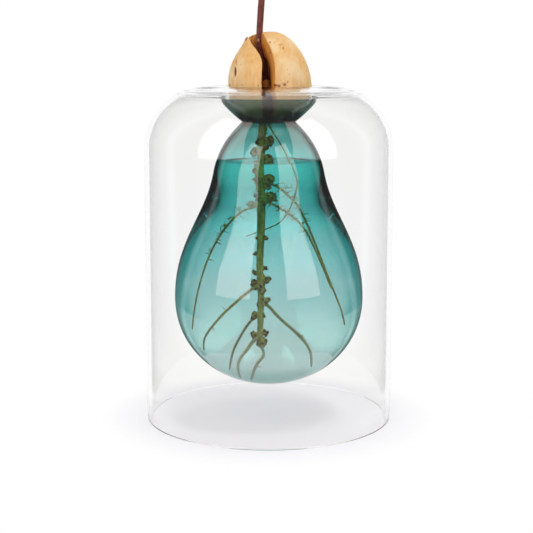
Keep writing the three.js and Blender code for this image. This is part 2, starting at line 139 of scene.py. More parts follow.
class Socket:
    """A node's output that takes part in Python expressions, on either side of an operator."""

    def __init__(self, board: "NodeBoard", link: bpy.types.NodeSocket) -> None:
        """Keeps the board and the output."""
        self.board = board
        self.link = link

    def math(self, operation: str, *others: "Value") -> "Socket":
        """Result of a Math node that takes this value first.

        Args:
            operation: The Math node's operation.
            others: Further values.

        Returns:
            The node's output.
        """
        return self.board.calculate(operation, self, *others)

    __add__, __radd__ = operator("ADD"), operator("ADD", swapped=True)
    __sub__, __rsub__ = operator("SUBTRACT"), operator("SUBTRACT", swapped=True)
    __mul__, __rmul__ = operator("MULTIPLY"), operator("MULTIPLY", swapped=True)
    __truediv__, __rtruediv__ = operator("DIVIDE"), operator("DIVIDE", swapped=True)


Value = Socket | float


class Node:
    """A node, whose outputs are reached by name or by number."""

    def __init__(self, board: "NodeBoard", node: bpy.types.Node) -> None:
        """Keeps the board and the node."""
        self.board = board
        self.node = node

    def __getitem__(self, key: str | int) -> Socket:
        """One of the node's outputs."""
        return Socket(self.board, self.node.outputs[key])


class NodeBoard:
    """A node tree under construction."""

    def __init__(self, tree: bpy.types.NodeTree) -> None:
        """Starts on an empty tree."""
        self.tree = tree
        tree.nodes.clear()

    def add(self, kind: str, inputs: Inputs | None = None, **settings: Any) -> Node:
        """Adds any node.

        Args:
            kind: The node's type, without its family.
            inputs: Values or links of its sockets, by name or by number.
            settings: Its properties, or the stops of a ramp, which are set first.

        Returns:
            The new node.
        """
        family = next(family for family in FAMILIES if hasattr(bpy.types, family + kind))
        node = self.tree.nodes.new(family + kind)
        for name, value in settings.items():
            if name == "stops":
                self._set_stops(node.color_ramp, value)
            else:
                setattr(node, name, value)
        for key, value in (inputs or {}).items():
            self.plug(value, node.inputs[key])
        return Node(self, node)

    def plug(self, value: Any, socket: bpy.types.NodeSocket) -> None:
        """Sets a socket to a value or to a colour's code, or links it.

        Args:
            value: A number, a vector, a colour or its code, or another node's output.
            socket: The input that takes it.
        """
        if isinstance(value, Socket):
            self.tree.links.new(value.link, socket)
        else:
            socket.default_value = rgb(value) if socket.type == "RGBA" and isinstance(value, str) else value

    def calculate(self, operation: str, *values: Value) -> Socket:
        """Result of a Math node on the values."""
        return self.add("Math", dict(enumerate(values)), operation=operation)[0]

    def between(self, value: Value, low: float, high: float) -> Socket:
        """Smooth step from 0 at low to 1 at high."""
        ends = {0: value, 1: low, 2: high}
        return self.add("MapRange", ends, interpolation_type="SMOOTHSTEP", clamp=True)[0]

    def mix(self, share: Value, first: Any, second: Any) -> Socket:
        """Mixes two colours.

        Args:
            share: How much of the second colour shows.
            first: Colour below.
            second: Colour above.

        Returns:
            The mixed colour.
        """
        return self.add("Mix", {0: share, 6: first, 7: second}, data_type="RGBA")[2]

    @staticmethod
    def _set_stops(ramp: bpy.types.ColorRamp, stops: Sequence[tuple[float, Colour]]) -> None:
        """Gives a ramp its stops, in order.

        Args:
            ramp: The ramp.
            stops: Place from 0 to 1 and colour of each stop.
        """
        while len(ramp.elements) < len(stops):
            ramp.elements.new(1.0)
        for element, (position, colour) in zip(ramp.elements, stops):
            element.position = position
            element.color = colour


class Paint(NodeBoard):
    """A material's nodes."""

    def __init__(self, name: str) -> None:
        """Starts an empty material.

        Args:
            name: The material's name.
        """
        self.material = bpy.data.materials.new(name)
        self.material.use_nodes = True
        super().__init__(self.material.node_tree)
        self.output = self.add("OutputMaterial")
        self.place = self.add("TexCoord")["Object"]

    def height(self) -> Socket:
        """Height above the table in millimetres."""
        return self.add("SeparateXYZ", {0: self.place})["Z"] / MM

    def attribute(self, name: str) -> Socket:
        """A value that the mesh carries at its points."""
        return self.add("Attribute", attribute_name=name)["Fac"]

    def laid(self, size: float, stretch: float = 1) -> Socket:
        """The place, counted in features of a size in millimetres that are so much longer upwards."""
        scale = [1 / (size * MM * s) for s in (1, 1, stretch)]
        return self.add("Mapping", {"Vector": self.place, "Scale": scale})[0]

    def grain(self, size: float, stretch: float = 1, detail: float = 4) -> Socket:
        """Soft noise.

        Args:
            size: Size of its largest features, in millimetres.
            stretch: How much longer they are upwards.
            detail: How many finer layers lie on it.

        Returns:
            A value about 0.5.
        """
        inputs = {"Vector": self.laid(size, stretch), "Scale": 1.0, "Detail": detail}
        return self.add("TexNoise", inputs)[0]

    def cells(self, size: float) -> Socket:
        """Distance to the nearest of scattered points, as a share of their spacing."""
        return self.add("TexVoronoi", {"Vector": self.laid(size), "Scale": 1.0})["Distance"]

    def relief(self, height: Value, depth: float) -> Socket:
        """Bumps.

        Args:
            height: Height of the bumps, from 0 to 1.
            depth: What 1 stands for, in millimetres.

        Returns:
            The normal for a shader.
        """
        return self.add("Bump", {"Height": height, "Distance": depth * MM})["Normal"]

    def end(self, shader: Node, socket: str = "Surface") -> Material:
        """Ends the material's surface, or its volume, in a shader."""
        self.plug(shader[0], self.output.node.inputs[socket])
        return self.material

    def surface(self, inputs: Inputs) -> Material:
        """Ends the material in a Principled shader.

        Args:
            inputs: Values or links of the shader's sockets.

        Returns:
            The finished material.
        """
        return self.end(self.add("BsdfPrincipled", inputs))

    def clear(self, tint: Any, index: float, normal: Socket) -> Material:
        """Ends the material in a smooth shader that lets light through.

        Args:
            tint: Its colour.
            index: How strongly it bends light.
            normal: Its bumps.

        Returns:
            The finished material.
        """
        see_through = {"Roughness": 0.0, "IOR": index, "Transmission Weight": 1.0}
        return self.surface({"Base Color": tint, **see_through, "Normal": normal})


# Finishes


@dataclass(frozen=True)
class GlassFinish:
    """Blown glass, tinted by height and a little wavy."""

    name: str
    tints: tuple[tuple[float, str], ...]  # height in millimetres and colour, from the foot up; the vessel's dark band at the neck among them is painted shade
    index: float
    wave_size: float
    wave_depth: float
    edge_tint: str
    edge_density: float
    wave_stretch: float = 2

    def make(self) -> Material:
        """Builds the material.

        Returns:
            The material.
        """
        paint = Paint(self.name)
        low, high = self.tints[0][0], self.tints[-1][0]
        share = (paint.height() - low) / (high - low)
        stops = [((height - low) / (high - low), rgb(code)) for height, code in self.tints]
        tint = paint.add("ValToRGB", {0: share}, stops=stops)[0]
        wave = paint.grain(self.wave_size, self.wave_stretch, 1)
        inside = {"Color": self.edge_tint, "Density": self.edge_density}
        paint.end(paint.add("VolumeAbsorption", inside), "Volume")
        return paint.clear(tint, self.index, paint.relief(wave, self.wave_depth))


@dataclass(frozen=True)
class WaterFinish:
    """Still, clear water."""

    name: str
    tint: str
    index: float = 1.333
    ripple_size: float = 9
    ripple_depth: float = 0.004

    def make(self) -> Material:
        """Builds the material.

        Returns:
            The material.
        """
        paint = Paint(self.name)
        ripple = paint.grain(self.ripple_size, detail=1)
        return paint.clear(self.tint, self.index, paint.relief(ripple, self.ripple_depth))


@dataclass(frozen=True)
class SeedFinish:
    """Peeled seed flesh: pale outside with upright streaks, brown inside, with stains, and painted shade deep
    in the slot between the halves.
    """

    name: str
    pale: str
    flesh: str
    streak: str
    rim: str
    # dark tone of the inner flesh, also laid deep in the slot between the halves as painted shade
    dark_flesh_and_slot_shade: str
    speck: str
    stain: str
    fibre_size: float = 1.3
    fibre_stretch: float = 9
    cloud_size: float = 9
    cloud_stretch: float = 1.6
    streak_range: Point = (0.42, 0.72)  # fibre at which a streak starts and is full
    streak_strength: float = 0.7
    pale_range: Point = (0.42, 0.7)  # cloud at which the pale flesh starts and is full
    pale_strength: float = 0.75
    speck_size: float = 2.6  # spacing of the specks
    speck_fade: Point = (0.05, 0.16)  # where a speck starts to fade and ends, as shares of that
    speck_range: Point = (0.5, 0.62)  # cloud at which they start to show and are full
    speck_strength: float = 0.6
    dark_range: Point = (0.35, 0.65)  # fibre at which the inside starts to darken and is dark
    dark_share: float = 0.5  # how much of that darkening shows, and how much of the painted shade in the slot
    crumb_size: float = 0.6
    fibre_bump: float = 0.6
    crumb_bump: float = 0.4
    bump_depth: float = 0.12
    roughness: float = 0.5
    fibre_roughness: float = 0.2
    shine: float = 0.25
    depth_share: float = 0.12  # how much light enters the flesh
    depth_tint: Triple = (1.0, 0.5, 0.25)
    depth: float = 1.5

    def make(self) -> Material:
        """Builds the material.

        Returns:
            The material.
        """
        paint = Paint(self.name)
        fibre = paint.grain(self.fibre_size, self.fibre_stretch)
        cloud = paint.grain(self.cloud_size, self.cloud_stretch, 3)
        streaks = paint.between(fibre, *self.streak_range) * self.streak_strength
        outside = paint.mix(streaks, self.flesh, self.streak)
        clouds = paint.between(cloud, *self.pale_range) * self.pale_strength
        outside = paint.mix(clouds, outside, self.pale)
        specks = 1 - paint.between(paint.cells(self.speck_size), *self.speck_fade)
        specks = specks * paint.between(cloud, *self.speck_range)
        outside = paint.mix(specks * self.speck_strength, outside, self.speck)
        dark = paint.between(fibre, *self.dark_range) * self.dark_share
        # The inner face darkens with the grain and, as painted shade, deep in the slot between the halves.
        inside = paint.mix(dark + paint.attribute("dark_flesh_and_slot_shade") * self.dark_share, self.rim, self.dark_flesh_and_slot_shade)
        colour = paint.mix(paint.attribute("inner"), outside, inside)
        colour = paint.mix(paint.attribute("stain"), colour, self.stain)
        bumps = fibre * self.fibre_bump + paint.grain(self.crumb_size) * self.crumb_bump
        return paint.surface(
            {
                "Base Color": colour,
                "Roughness": self.roughness + fibre * self.fibre_roughness,
                "Specular IOR Level": self.shine,
                "Subsurface Weight": self.depth_share,
                "Subsurface Radius": self.depth_tint,
                "Subsurface Scale": self.depth * MM,
                "Normal": paint.relief(bumps, self.bump_depth),
            }
        )


@dataclass(frozen=True)
class SkinFinish:
    """Skin of a stem or a root: two mixed tones, another at its end, and others on its ridges and stains."""

    name: str
    pale: str
    deep: str
    end: str  # tone towards the end height
    end_heights: Point  # millimetres, where it starts and where it is full
    grain: float
    stretch: float  # how much longer the grain is upwards
    roughness: float
    depth: float
    ridge: str | None = None
    stain: str | None = None
    patch_size: float = 5  # how many grains wide its patches are
    patch_stretch: float = 1.5
    fibre_share: float = 0.6  # how much the grain counts against the patches
    pale_range: Point = (0.36, 0.64)  # where their mix starts to be pale and is pale
    roughness_spread: float = 0.25

    def make(self) -> Material:
        """Builds the material.

        Returns:
            The material.
        """
        paint = Paint(self.name)
        fibre = paint.grain(self.grain, self.stretch)
        patch = paint.grain(self.grain * self.patch_size, self.patch_stretch, 2)
        mixed = fibre * self.fibre_share + patch * (1 - self.fibre_share)
        light = paint.between(mixed, *self.pale_range)
        colour = paint.mix(light, self.deep, self.pale)
        colour = paint.mix(paint.between(paint.height(), *self.end_heights), colour, self.end)
        for mark, tone in (("crest", self.ridge), ("stain", self.stain)):
            if tone:
                colour = paint.mix(paint.attribute(mark), colour, tone)
        return paint.surface(
            {
                "Base Color": colour,
                "Roughness": self.roughness + (fibre - 0.5) * self.roughness_spread,
                "Normal": paint.relief(fibre, self.depth),
            }
        )


# Geometry Nodes trees

WHOLE_NUMBERS = ("Sides", "Count", "Seed")


class GeometryTree(NodeBoard):
    """A tree with named inputs that ends in Realize Instances and Set Material."""

    def __init__(self, name: str, labels: Sequence[str]) -> None:
        """Makes the tree's sockets.

        Args:
            name: The tree's name.
            labels: Names of its number inputs.
        """
        super().__init__(bpy.data.node_groups.new(name, "GeometryNodeTree"))
        sockets = self.tree.interface
        for way in ("OUTPUT", "INPUT"):
            sockets.new_socket(name="Geometry", in_out=way, socket_type="NodeSocketGeometry")
        kinds = {label: "Int" if label in WHOLE_NUMBERS else "Float" for label in labels}
        self.keys: dict[str, str] = {}
        for label, kind in {**kinds, "Material": "Material"}.items():
            socket = sockets.new_socket(name=label, in_out="INPUT", socket_type=f"NodeSocket{kind}")
            self.keys[label] = socket.identifier
        self.entry = self.add("NodeGroupInput")

    def end(self, geometry: Socket) -> None:
        """Realizes the geometry, smooths its shading and gives it the material.

        Args:
            geometry: What the tree has made.
        """
        whole = self.add("RealizeInstances", {0: geometry})[0]
        smooth = self.add("SetShadeSmooth", {0: whole})[0]
        inputs = {"Geometry": smooth, "Material": self.entry["Material"]}
        dressed = self.add("SetMaterial", inputs)[0]
        self.add("NodeGroupOutput", {0: dressed})

    def grow(self, base: Mesh, material: Material, **values: float) -> Mesh:
        """Runs the tree on a mesh.

        Args:
            base: What the tree starts from.
            material: Finish of the result.
            values: The tree's number inputs, with _ for a space in their names.

        Returns:
            The result as a plain mesh.
        """
        carrier = placed(base.name, base)
        modifier = carrier.modifiers.new(self.tree.name, "NODES")
        modifier.node_group = self.tree
        modifier[self.keys["Material"]] = material
        for label, value in values.items():
            modifier[self.keys[label.replace("_", " ")]] = value
        return plain_mesh(carrier)


class LatheTree(GeometryTree):
    """Turns a closed outline, a row of points in the XZ plane, about the upright axis."""

    def __init__(self) -> None:
        """Builds the tree."""
        super().__init__("turned_outline", ["Sides"])
        outline, sides = self.entry["Geometry"], self.entry["Sides"]
        count = self.add("AttributeDomainSize", {0: outline}, component="MESH")["Point Count"]
        grid = self.add("MeshGrid", {"Vertices X": count + 1, "Vertices Y": sides + 1})[0]
        index = self.add("InputIndex")[0]
        ring = ((index + 0.5) / (sides + 1)).math("FLOOR")
        turn = (index - ring * (sides + 1)) * math.tau / sides
        where = self.add("InputPosition")[0]
        pick = {"Geometry": outline, "Value": where, "Index": ring.math("MODULO", count)}
        sample = self.add("SampleIndex", pick, data_type="FLOAT_VECTOR")[0]
        point = self.add("SeparateXYZ", {0: sample})
        radius, height = point["X"], point["Z"]
        across = {"X": radius * turn.math("COSINE"), "Y": radius * turn.math("SINE"), "Z": height}
        spot = self.add("CombineXYZ", across)[0]
        wall = self.add("SetPosition", {"Geometry": grid, "Position": spot})[0]
        self.end(self.add("MergeByDistance", {"Geometry": wall, "Distance": 1e-6})[0])


class TubeTree(GeometryTree):
    """A tapered round tube along a row of points."""

    def __init__(self) -> None:
        """Builds the tree."""
        super().__init__("tapered_tube", ["Foot Radius", "Tip Radius", "Step", "Sides"])
        line = self.add("MeshToCurve", {0: self.entry["Geometry"]})[0]
        spaced = {"Curve": line, "Length": self.entry["Step"]}
        even = self.add("ResampleCurve", spaced, mode="LENGTH")[0]
        along = self.add("SplineParameter")["Factor"]
        foot, tip = self.entry["Foot Radius"], self.entry["Tip Radius"]
        circle = {"Resolution": self.entry["Sides"], "Radius": 1.0}
        ring = self.add("CurvePrimitiveCircle", circle)[0]
        radius = foot + (tip - foot) * along
        swept = {"Curve": even, "Profile Curve": ring, "Scale": radius, "Fill Caps": True}
        self.end(self.add("CurveToMesh", swept)[0])


class NubTree(GeometryTree):
    """Scatters nubs over a skin, by the share that its points carry, and keeps the skin."""

    LUMP_SIZES = {"Radius": 1.0, "Subdivisions": 1}
    THREAD_SIZES = {"Vertices": 5, "Side Segments": 2, "Radius Top": 0.05, "Radius Bottom": 0.2, "Depth": 2.4}

    def __init__(self, shape: NubShape) -> None:
        """Builds the tree.

        Args:
            shape: What a nub looks like.
        """
        super().__init__(f"{shape.value}_nubs", ["Density", "Least", "Most", "Seed"])
        skin, seed = self.entry["Geometry"], self.entry["Seed"]
        share = self.add("InputNamedAttribute", {"Name": "nubs"}, data_type="FLOAT")["Attribute"]
        spread = {"Mesh": skin, "Density": self.entry["Density"] * share, "Seed": seed}
        points = self.add("DistributePointsOnFaces", spread, distribute_method="RANDOM")
        if shape is NubShape.LUMP:
            nub = self.add("MeshIcoSphere", self.LUMP_SIZES)[0]
        else:
            nub = self.add("MeshCone", self.THREAD_SIZES)[0]
        size = self.add("RandomValue", data_type="FLOAT")
        for label, value in {"Min": self.entry["Least"], "Max": self.entry["Most"], "Seed": seed}.items():
            self.plug(value, next(s for s in size.node.inputs if s.name == label and s.enabled))
        width = Socket(self, next(s for s in size.node.outputs if s.enabled))
        inputs = {"Points": points["Points"], "Instance": nub, "Rotation": points["Rotation"], "Scale": width}
        grown = self.add("InstanceOnPoints", inputs)[0]
        joined = self.add("JoinGeometry")
        self.plug(grown, joined.node.inputs[0])
        self.plug(skin, joined.node.inputs[0])
        self.end(joined[0])


class WhorlTree(GeometryTree):
    """Repeats a scale leaf round the upright axis, each one further round, higher and smaller."""

    def __init__(self) -> None:
        """Builds the tree."""
        super().__init__("bud_scales", ["Count", "Turn", "Rise", "Shrink"])
        points = self.add("MeshLine", {"Count": self.entry["Count"]})[0]
        index = self.add("InputIndex")[0]
        up = self.add("CombineXYZ", {"Z": index * self.entry["Rise"]})[0]
        stacked = self.add("SetPosition", {"Geometry": points, "Position": up})[0]
        turn = self.add("CombineXYZ", {"Z": index * self.entry["Turn"]})[0]
        inputs = {
            "Points": stacked,
            "Instance": self.entry["Geometry"],
            "Rotation": self.add("EulerToRotation", {0: turn})[0],
            "Scale": 1 - index * self.entry["Shrink"],
        }
        self.end(self.add("InstanceOnPoints", inputs)[0])


# Outlines and meshes


def placed(name: str, data: bpy.types.ID) -> bpy.types.Object:
    """A new object in the scene.

    Args:
        name: Its name.
        data: Its mesh, lamp or camera.

    Returns:
        The object.
    """
    item = bpy.data.objects.new(name, data)
    bpy.context.scene.collection.objects.link(item)
    return item


def hide(item: bpy.types.Object, *rays: str) -> None:
    """Hides an object from some kinds of rays."""
    for ray in rays:
        setattr(item, f"visible_{ray}", False)


def new_mesh(name: str, corners: Sequence[Any], edges: Sequence[Any], faces: Sequence[Any]) -> Mesh:
    """A mesh of corners, edges and faces.

    Args:
        name: Its name.
        corners: Places of its corners, in metres.
        edges: Loose edges, by their corners' numbers.
        faces: Faces, by their corners' numbers.

    Returns:
        The mesh.
    """
    mesh = bpy.data.meshes.new(name)
    mesh.from_pydata(corners, edges, faces)
    return mesh


def plain_mesh(carrier: bpy.types.Object) -> Mesh:
    """Turns an object with modifiers into a plain mesh and removes the object.

    Args:
        carrier: The object.

    Returns:
        Its mesh with the modifiers applied.
    """
    graph = bpy.context.evaluated_depsgraph_get()
    mesh = bpy.data.meshes.new_from_object(carrier.evaluated_get(graph))
    bpy.data.objects.remove(carrier)
    return mesh


def modified(mesh: Mesh, *steps: tuple[str, dict[str, Any]]) -> Mesh:
    """Runs modifiers on a mesh.

    Args:
        mesh: The start.
        steps: Type and settings of each modifier, in order.

    Returns:
        The result as a plain mesh.
    """
    carrier = placed(mesh.name, mesh)
    for kind, settings in steps:
        modifier = carrier.modifiers.new(kind, kind)
        for name, value in settings.items():
            setattr(modifier, name, value)
    return plain_mesh(carrier)


def arc(centre: Point, across: float, up: float, start: float, end: float, steps: int) -> list[Point]:
    """Points on an ellipse, from one angle to another in degrees."""
    angles = [math.radians(start + (end - start) * i / steps) for i in range(steps + 1)]
    return [(centre[0] + across * math.cos(a), centre[1] + up * math.sin(a)) for a in angles]


def eased(start: Point, out: Point, back: Point, end: Point, steps: int) -> list[Point]:
    """Points on a curve whose handles are given from its two ends.

    Args:
        start: First point.
        out: Handle at the start.
        back: Handle at the end.
        end: Last point.
        steps: How many pieces the curve is cut into.

    Returns:
        The points, both ends included.
    """
    handles = [start, (start[0] + out[0], start[1] + out[1]), (end[0] + back[0], end[1] + back[1]), end]
    points = []
    for i in range(steps + 1):
        t = i / steps
        weights = [(1 - t) ** 3, 3 * (1 - t) ** 2 * t, 3 * (1 - t) * t**2, t**3]
        points.append(tuple(sum(w * h[k] for w, h in zip(weights, handles)) for k in (0, 1)))
    return points


def inset(outline: Sequence[Point], thickness: Callable[[Point], float]) -> list[Point]:
    """An outline that runs up the outside, moved in by the wall's thickness at each point.

    Args:
        outline: The outside, from the bottom up.
        thickness: Gives the thickness at a point.

    Returns:
        The inside, point by point.
    """
    moved = []
    for i, point in enumerate(outline):
        before, after = outline[max(i - 1, 0)], outline[min(i + 1, len(outline) - 1)]
        run = (after[0] - before[0], after[1] - before[1])
        share = thickness(point) / math.hypot(*run)
        moved.append((point[0] - run[1] * share, point[1] + run[0] * share))
    return moved


def line_mesh(name: str, points: Sequence[Vector]) -> Mesh:
    """A mesh of points joined in a row."""
    return new_mesh(name, points, [(i, i + 1) for i in range(len(points) - 1)], [])


def turned(name: str, outline: Sequence[Point], material: Material) -> Mesh:
    """A closed body turned from an outline in millimetres, with its faces outwards.

    Args:
        name: Its name.
        outline: Radius and height of each point, once round the section.
        material: Its finish.

    Returns:
        The mesh.
    """
    row = [Vector((radius * MM, 0, height * MM)) for radius, height in outline]
    mesh = LatheTree().grow(line_mesh(name, row), material, Sides=TURN_SIDES)
    work = bmesh.new()
    work.from_mesh(mesh)
    bmesh.ops.recalc_face_normals(work, faces=work.faces)
    work.to_mesh(mesh)
    work.free()
    mesh.set_sharp_from_angle(angle=SHARP_ANGLE)
    return mesh


def node_copy(node: str) -> Mesh:
    """A closed copy of a CAD node's mesh, with its corners merged and its triangles paired.

    Args:
        node: The node's name.

    Returns:
        The copy.
    """
    work = bmesh.new()
    work.from_mesh(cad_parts[node].data)
    bmesh.ops.remove_doubles(work, verts=work.verts, dist=WELD)
    limits = {"angle_face_threshold": PAIR_ANGLE, "angle_shape_threshold": PAIR_ANGLE}
    bmesh.ops.join_triangles(work, faces=work.faces, **limits)
    corners = [vertex.co.copy() for vertex in work.verts]
    work.verts.index_update()
    faces = [[vertex.index for vertex in face.verts] for face in work.faces]
    work.free()
    return new_mesh(node, corners, [], faces)


def smooth_copy(node: str, voxel: float, passes: int) -> Mesh:
    """A copy of a CAD node in even, small faces, whose edges are rounded.

    Args:
        node: The node's name.
        voxel: Size of the faces in millimetres.
        passes: How often it is smoothed.

    Returns:
        The copy.
    """
    even = {"mode": "VOXEL", "voxel_size": voxel * MM}
    return modified(node_copy(node), ("REMESH", even), ("SMOOTH", {"factor": 0.5, "iterations": passes}))


def pushed(mesh: Mesh, moves: Sequence[float]) -> Mesh:
    """Moves each point of a skin out along its normal, by so many millimetres.

    Args:
        mesh: The skin.
        moves: How far each point moves.

    Returns:
        The same mesh.
    """
    outward = [vertex.normal.copy() for vertex in mesh.vertices]
    for vertex, normal, move in zip(mesh.vertices, outward, moves):
        vertex.co += normal * move * MM
    mesh.update()
    return mesh


def roughened(mesh: Mesh, depth: float, size: float, stretch: float = 1, lift: float = 0) -> Mesh:
    """Presses soft dents into a skin.

    Args:
        mesh: The skin.
        depth: Depth of the dents in millimetres.
        size: Their size in millimetres.
        stretch: How much longer they are upwards.
        lift: How far the whole skin moves out first, in millimetres.

    Returns:
        The same mesh.
    """
    moves = []
    for spot in [vertex.co for vertex in mesh.vertices]:
        grain = Vector((spot.x, spot.y, spot.z / stretch)) / (size * MM)
        moves.append(lift - depth * (0.5 + 0.5 * noise.fractal(grain, 1.0, 2.0, 3)))
    return pushed(mesh, moves)


def put_attribute(mesh: Mesh, name: str, values: Sequence[float]) -> None:
    """Gives the mesh a value at each point."""
    layer = mesh.attributes.new(name, "FLOAT", "POINT")
    layer.data.foreach_set("value", values)


def crests(mesh: Mesh, gain: float) -> list[float]:
    """How far each point stands out of its neighbours, from 0 to 1.

    Args:
        mesh: The skin.
        gain: How soon a crest counts as a full one.

    Returns:
        A value for each point.
    """
    work = bmesh.new()
    work.from_mesh(mesh)
    work.verts.index_update()
    raw, near = [], []
    for vertex in work.verts:
        others = [edge.other_vert(vertex) for edge in vertex.link_edges]
        middle = sum((other.co for other in others), Vector()) / max(len(others), 1)
        reach = max(((other.co - vertex.co).length for other in others), default=1)
        raw.append((vertex.co - middle).dot(vertex.normal) / reach)
        near.append([other.index for other in others])
    work.free()
    soft = [(raw[i] + sum(raw[j] for j in n)) / (1 + len(n)) for i, n in enumerate(near)]
    return [min(1, max(0, gain * value)) for value in soft]


def soft_step(value: float, low: float, high: float) -> float:
    """Smooth step from 0 at low to 1 at high."""
    t = min(1, max(0, (value - low) / (high - low)))
    return t * t * (3 - 2 * t)


@dataclass(frozen=True)
class Stain:
    """A mark on the front of a skin, in millimetres right of the axis and above the table."""

    right: float
    up: float
    half_width: float
    half_height: float
    strength: float = 1.0
    dent: float = 0.0
    fade: Point = (0.55, 1.1)  # where it starts to fade and where it ends, as shares of its half sizes

    def at(self, spot: Vector) -> float:
        """How strongly it shows at a point of the mesh.

        Args:
            spot: The point, in metres.

        Returns:
            A value from 0 to its strength.
        """
        across = (spot.x / MM - self.right) / self.half_width
        along = (spot.z / MM - self.up) / self.half_height
        return self.strength * (1 - soft_step(math.hypot(across, along), *self.fade))


def stained(mesh: Mesh, stains: Sequence[Stain], front: float) -> Mesh:
    """Lays stains on the front of a skin, as an attribute and as dents.

    Args:
        mesh: The skin.
        stains: The marks.
        front: Points with a larger Y in metres stay clean.

    Returns:
        The same mesh.
    """
    values, moves = [], []
    for spot in [vertex.co for vertex in mesh.vertices]:
        shown = [mark.at(spot) if spot.y < front else 0.0 for mark in stains]
        values.append(max(shown))
        moves.append(-sum(mark.dent * value for mark, value in zip(stains, shown)))
    put_attribute(mesh, "stain", values)
    return pushed(mesh, moves)


@dataclass(frozen=True)
class Pull:
    """A soft pull on a skin: where it takes hold, how far it reaches and where it leads, in millimetres."""

    spot: Triple
    reach: Triple
    shift: Triple

    def bend(self, mesh: Mesh) -> None:
        """Moves the mesh's points.

        Args:
            mesh: The skin.
        """
        middle, shift = Vector(self.spot) * MM, Vector(self.shift) * MM
        for vertex in mesh.vertices:
            away = vertex.co - middle
            square = sum((away[k] / (self.reach[k] * MM)) ** 2 for k in range(3))
            vertex.co += shift * math.exp(-square)


@dataclass(frozen=True)
class Role:
    """What a piece is in the frame."""

    body: Body
    slot: Slot | None = None
    nodes: tuple[str, ...] = ()


def add_piece(name: str, mesh: Mesh, role: Role, material: Material | None = None) -> bpy.types.Object:
    """Adds a finished piece to the frame.

    Args:
        name: The piece's name.
        mesh: Its mesh, in place.
        role: What it is in the frame.
        material: Its finish, where the mesh has none.

    Returns:
        The piece.
    """
    mesh.name = name
    if material:
        mesh.materials.clear()
        mesh.materials.append(material)
        mesh.shade_smooth()
    piece = placed(name, mesh)
    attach(piece, role.body.value)
    if role.nodes:
        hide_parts(*role.nodes)
    LOG.info("%s: %d faces on %s", name, len(mesh.polygons), role.body.value)
    return piece


# Glassware


@dataclass
class Dome:
    """The clear dome, with its open foot, rounded shoulder and rolled lip."""

    radius: float = 60
    height: float = 162
    wall: float = 2.2
    shoulder: float = 30
    foot_round: float = 0.6
    lip_width: float = 9.2
    lip_drop: float = 6
    mouth_radius: float = 20.8
    rib: Point = (0.06, 4)  # depth and number of the soft ribs that turning left round the mouth
    rib_angles: Point = (54, 86)  # where they lie on the shoulder, in degrees
    loop: float = 3  # spacing of the loops up the straight wall
    steps: tuple[int, ...] = (6, 120, 20, 36)  # faces along the foot, the shoulder, the lip and the inside

    def ribbed(self, curve: Sequence[Point], low: float, high: float) -> list[Point]:
        """A part of the outside with soft ribs between two heights.

        Args:
            curve: The part, from the bottom up.
            low: Height where the ribs start.
            high: Height where they end.

        Returns:
            The ribbed part.
        """

        def depth(point: Point) -> float:
            """How deep the glass lies at a point.

            Args:
                point: A point of the part.

            Returns:
                The depth in millimetres.
            """
            share = min(1, max(0, (point[1] - low) / (high - low)))
            groove = (1 - math.cos(math.tau * self.rib[1] * share)) / 2
            return self.rib[0] * math.sin(math.pi * share) * groove

        return inset(curve, depth)

    def outline(self) -> list[Point]:
        """Outside from the foot up, over the lip, and down the inside.

        Returns:
            Radius and height of each point, in millimetres.
        """
        inside, ridge = self.radius - self.wall, self.mouth_radius + self.lip_width
        straight, seam = self.height - self.shoulder, self.height - self.lip_drop
        foot, wall = self.foot_round, self.wall
        low, over, lip, under = self.steps
        ribs = [straight + self.shoulder * math.sin(math.radians(angle)) for angle in self.rib_angles]
        loops = [2 * foot + self.loop * i for i in range(int((straight - 2 * foot) / self.loop) + 1)]
        return [
            *arc((self.radius - foot, foot), foot, foot, -90, 0, low),
            *[(self.radius, height) for height in loops],
            *self.ribbed(arc((ridge, straight), self.radius - ridge, self.shoulder, 0, 90, over), *ribs),
            *arc((ridge, seam), self.lip_width, self.lip_drop, 90, 180, lip)[1:],
            *arc((ridge, seam), self.lip_width - wall, self.lip_drop - wall, 180, 90, lip),
            *arc((ridge, straight), inside - ridge, self.shoulder - wall, 90, 0, under)[1:],
            *[(inside, height) for height in reversed(loops)],
            *arc((inside + foot, foot), foot, foot, 180, 270, low),
        ]

    def dress(self) -> None:
        """Adds the dome."""
        finish = GlassFinish(
            "clear_blown_glass", ((0, "FEFEFD"), (80, "FFFFFF"), (162, "FEFEFD")), index=1.36, wave_size=45,
            wave_depth=0.02, edge_tint="D6D8D6", edge_density=11,
        )
        mesh = turned("dome", self.outline(), finish.make())
        hide(add_piece("dome_glass", mesh, Role(Body.GLASS, Slot.CLEAR, ("outer_dome",))), "shadow")


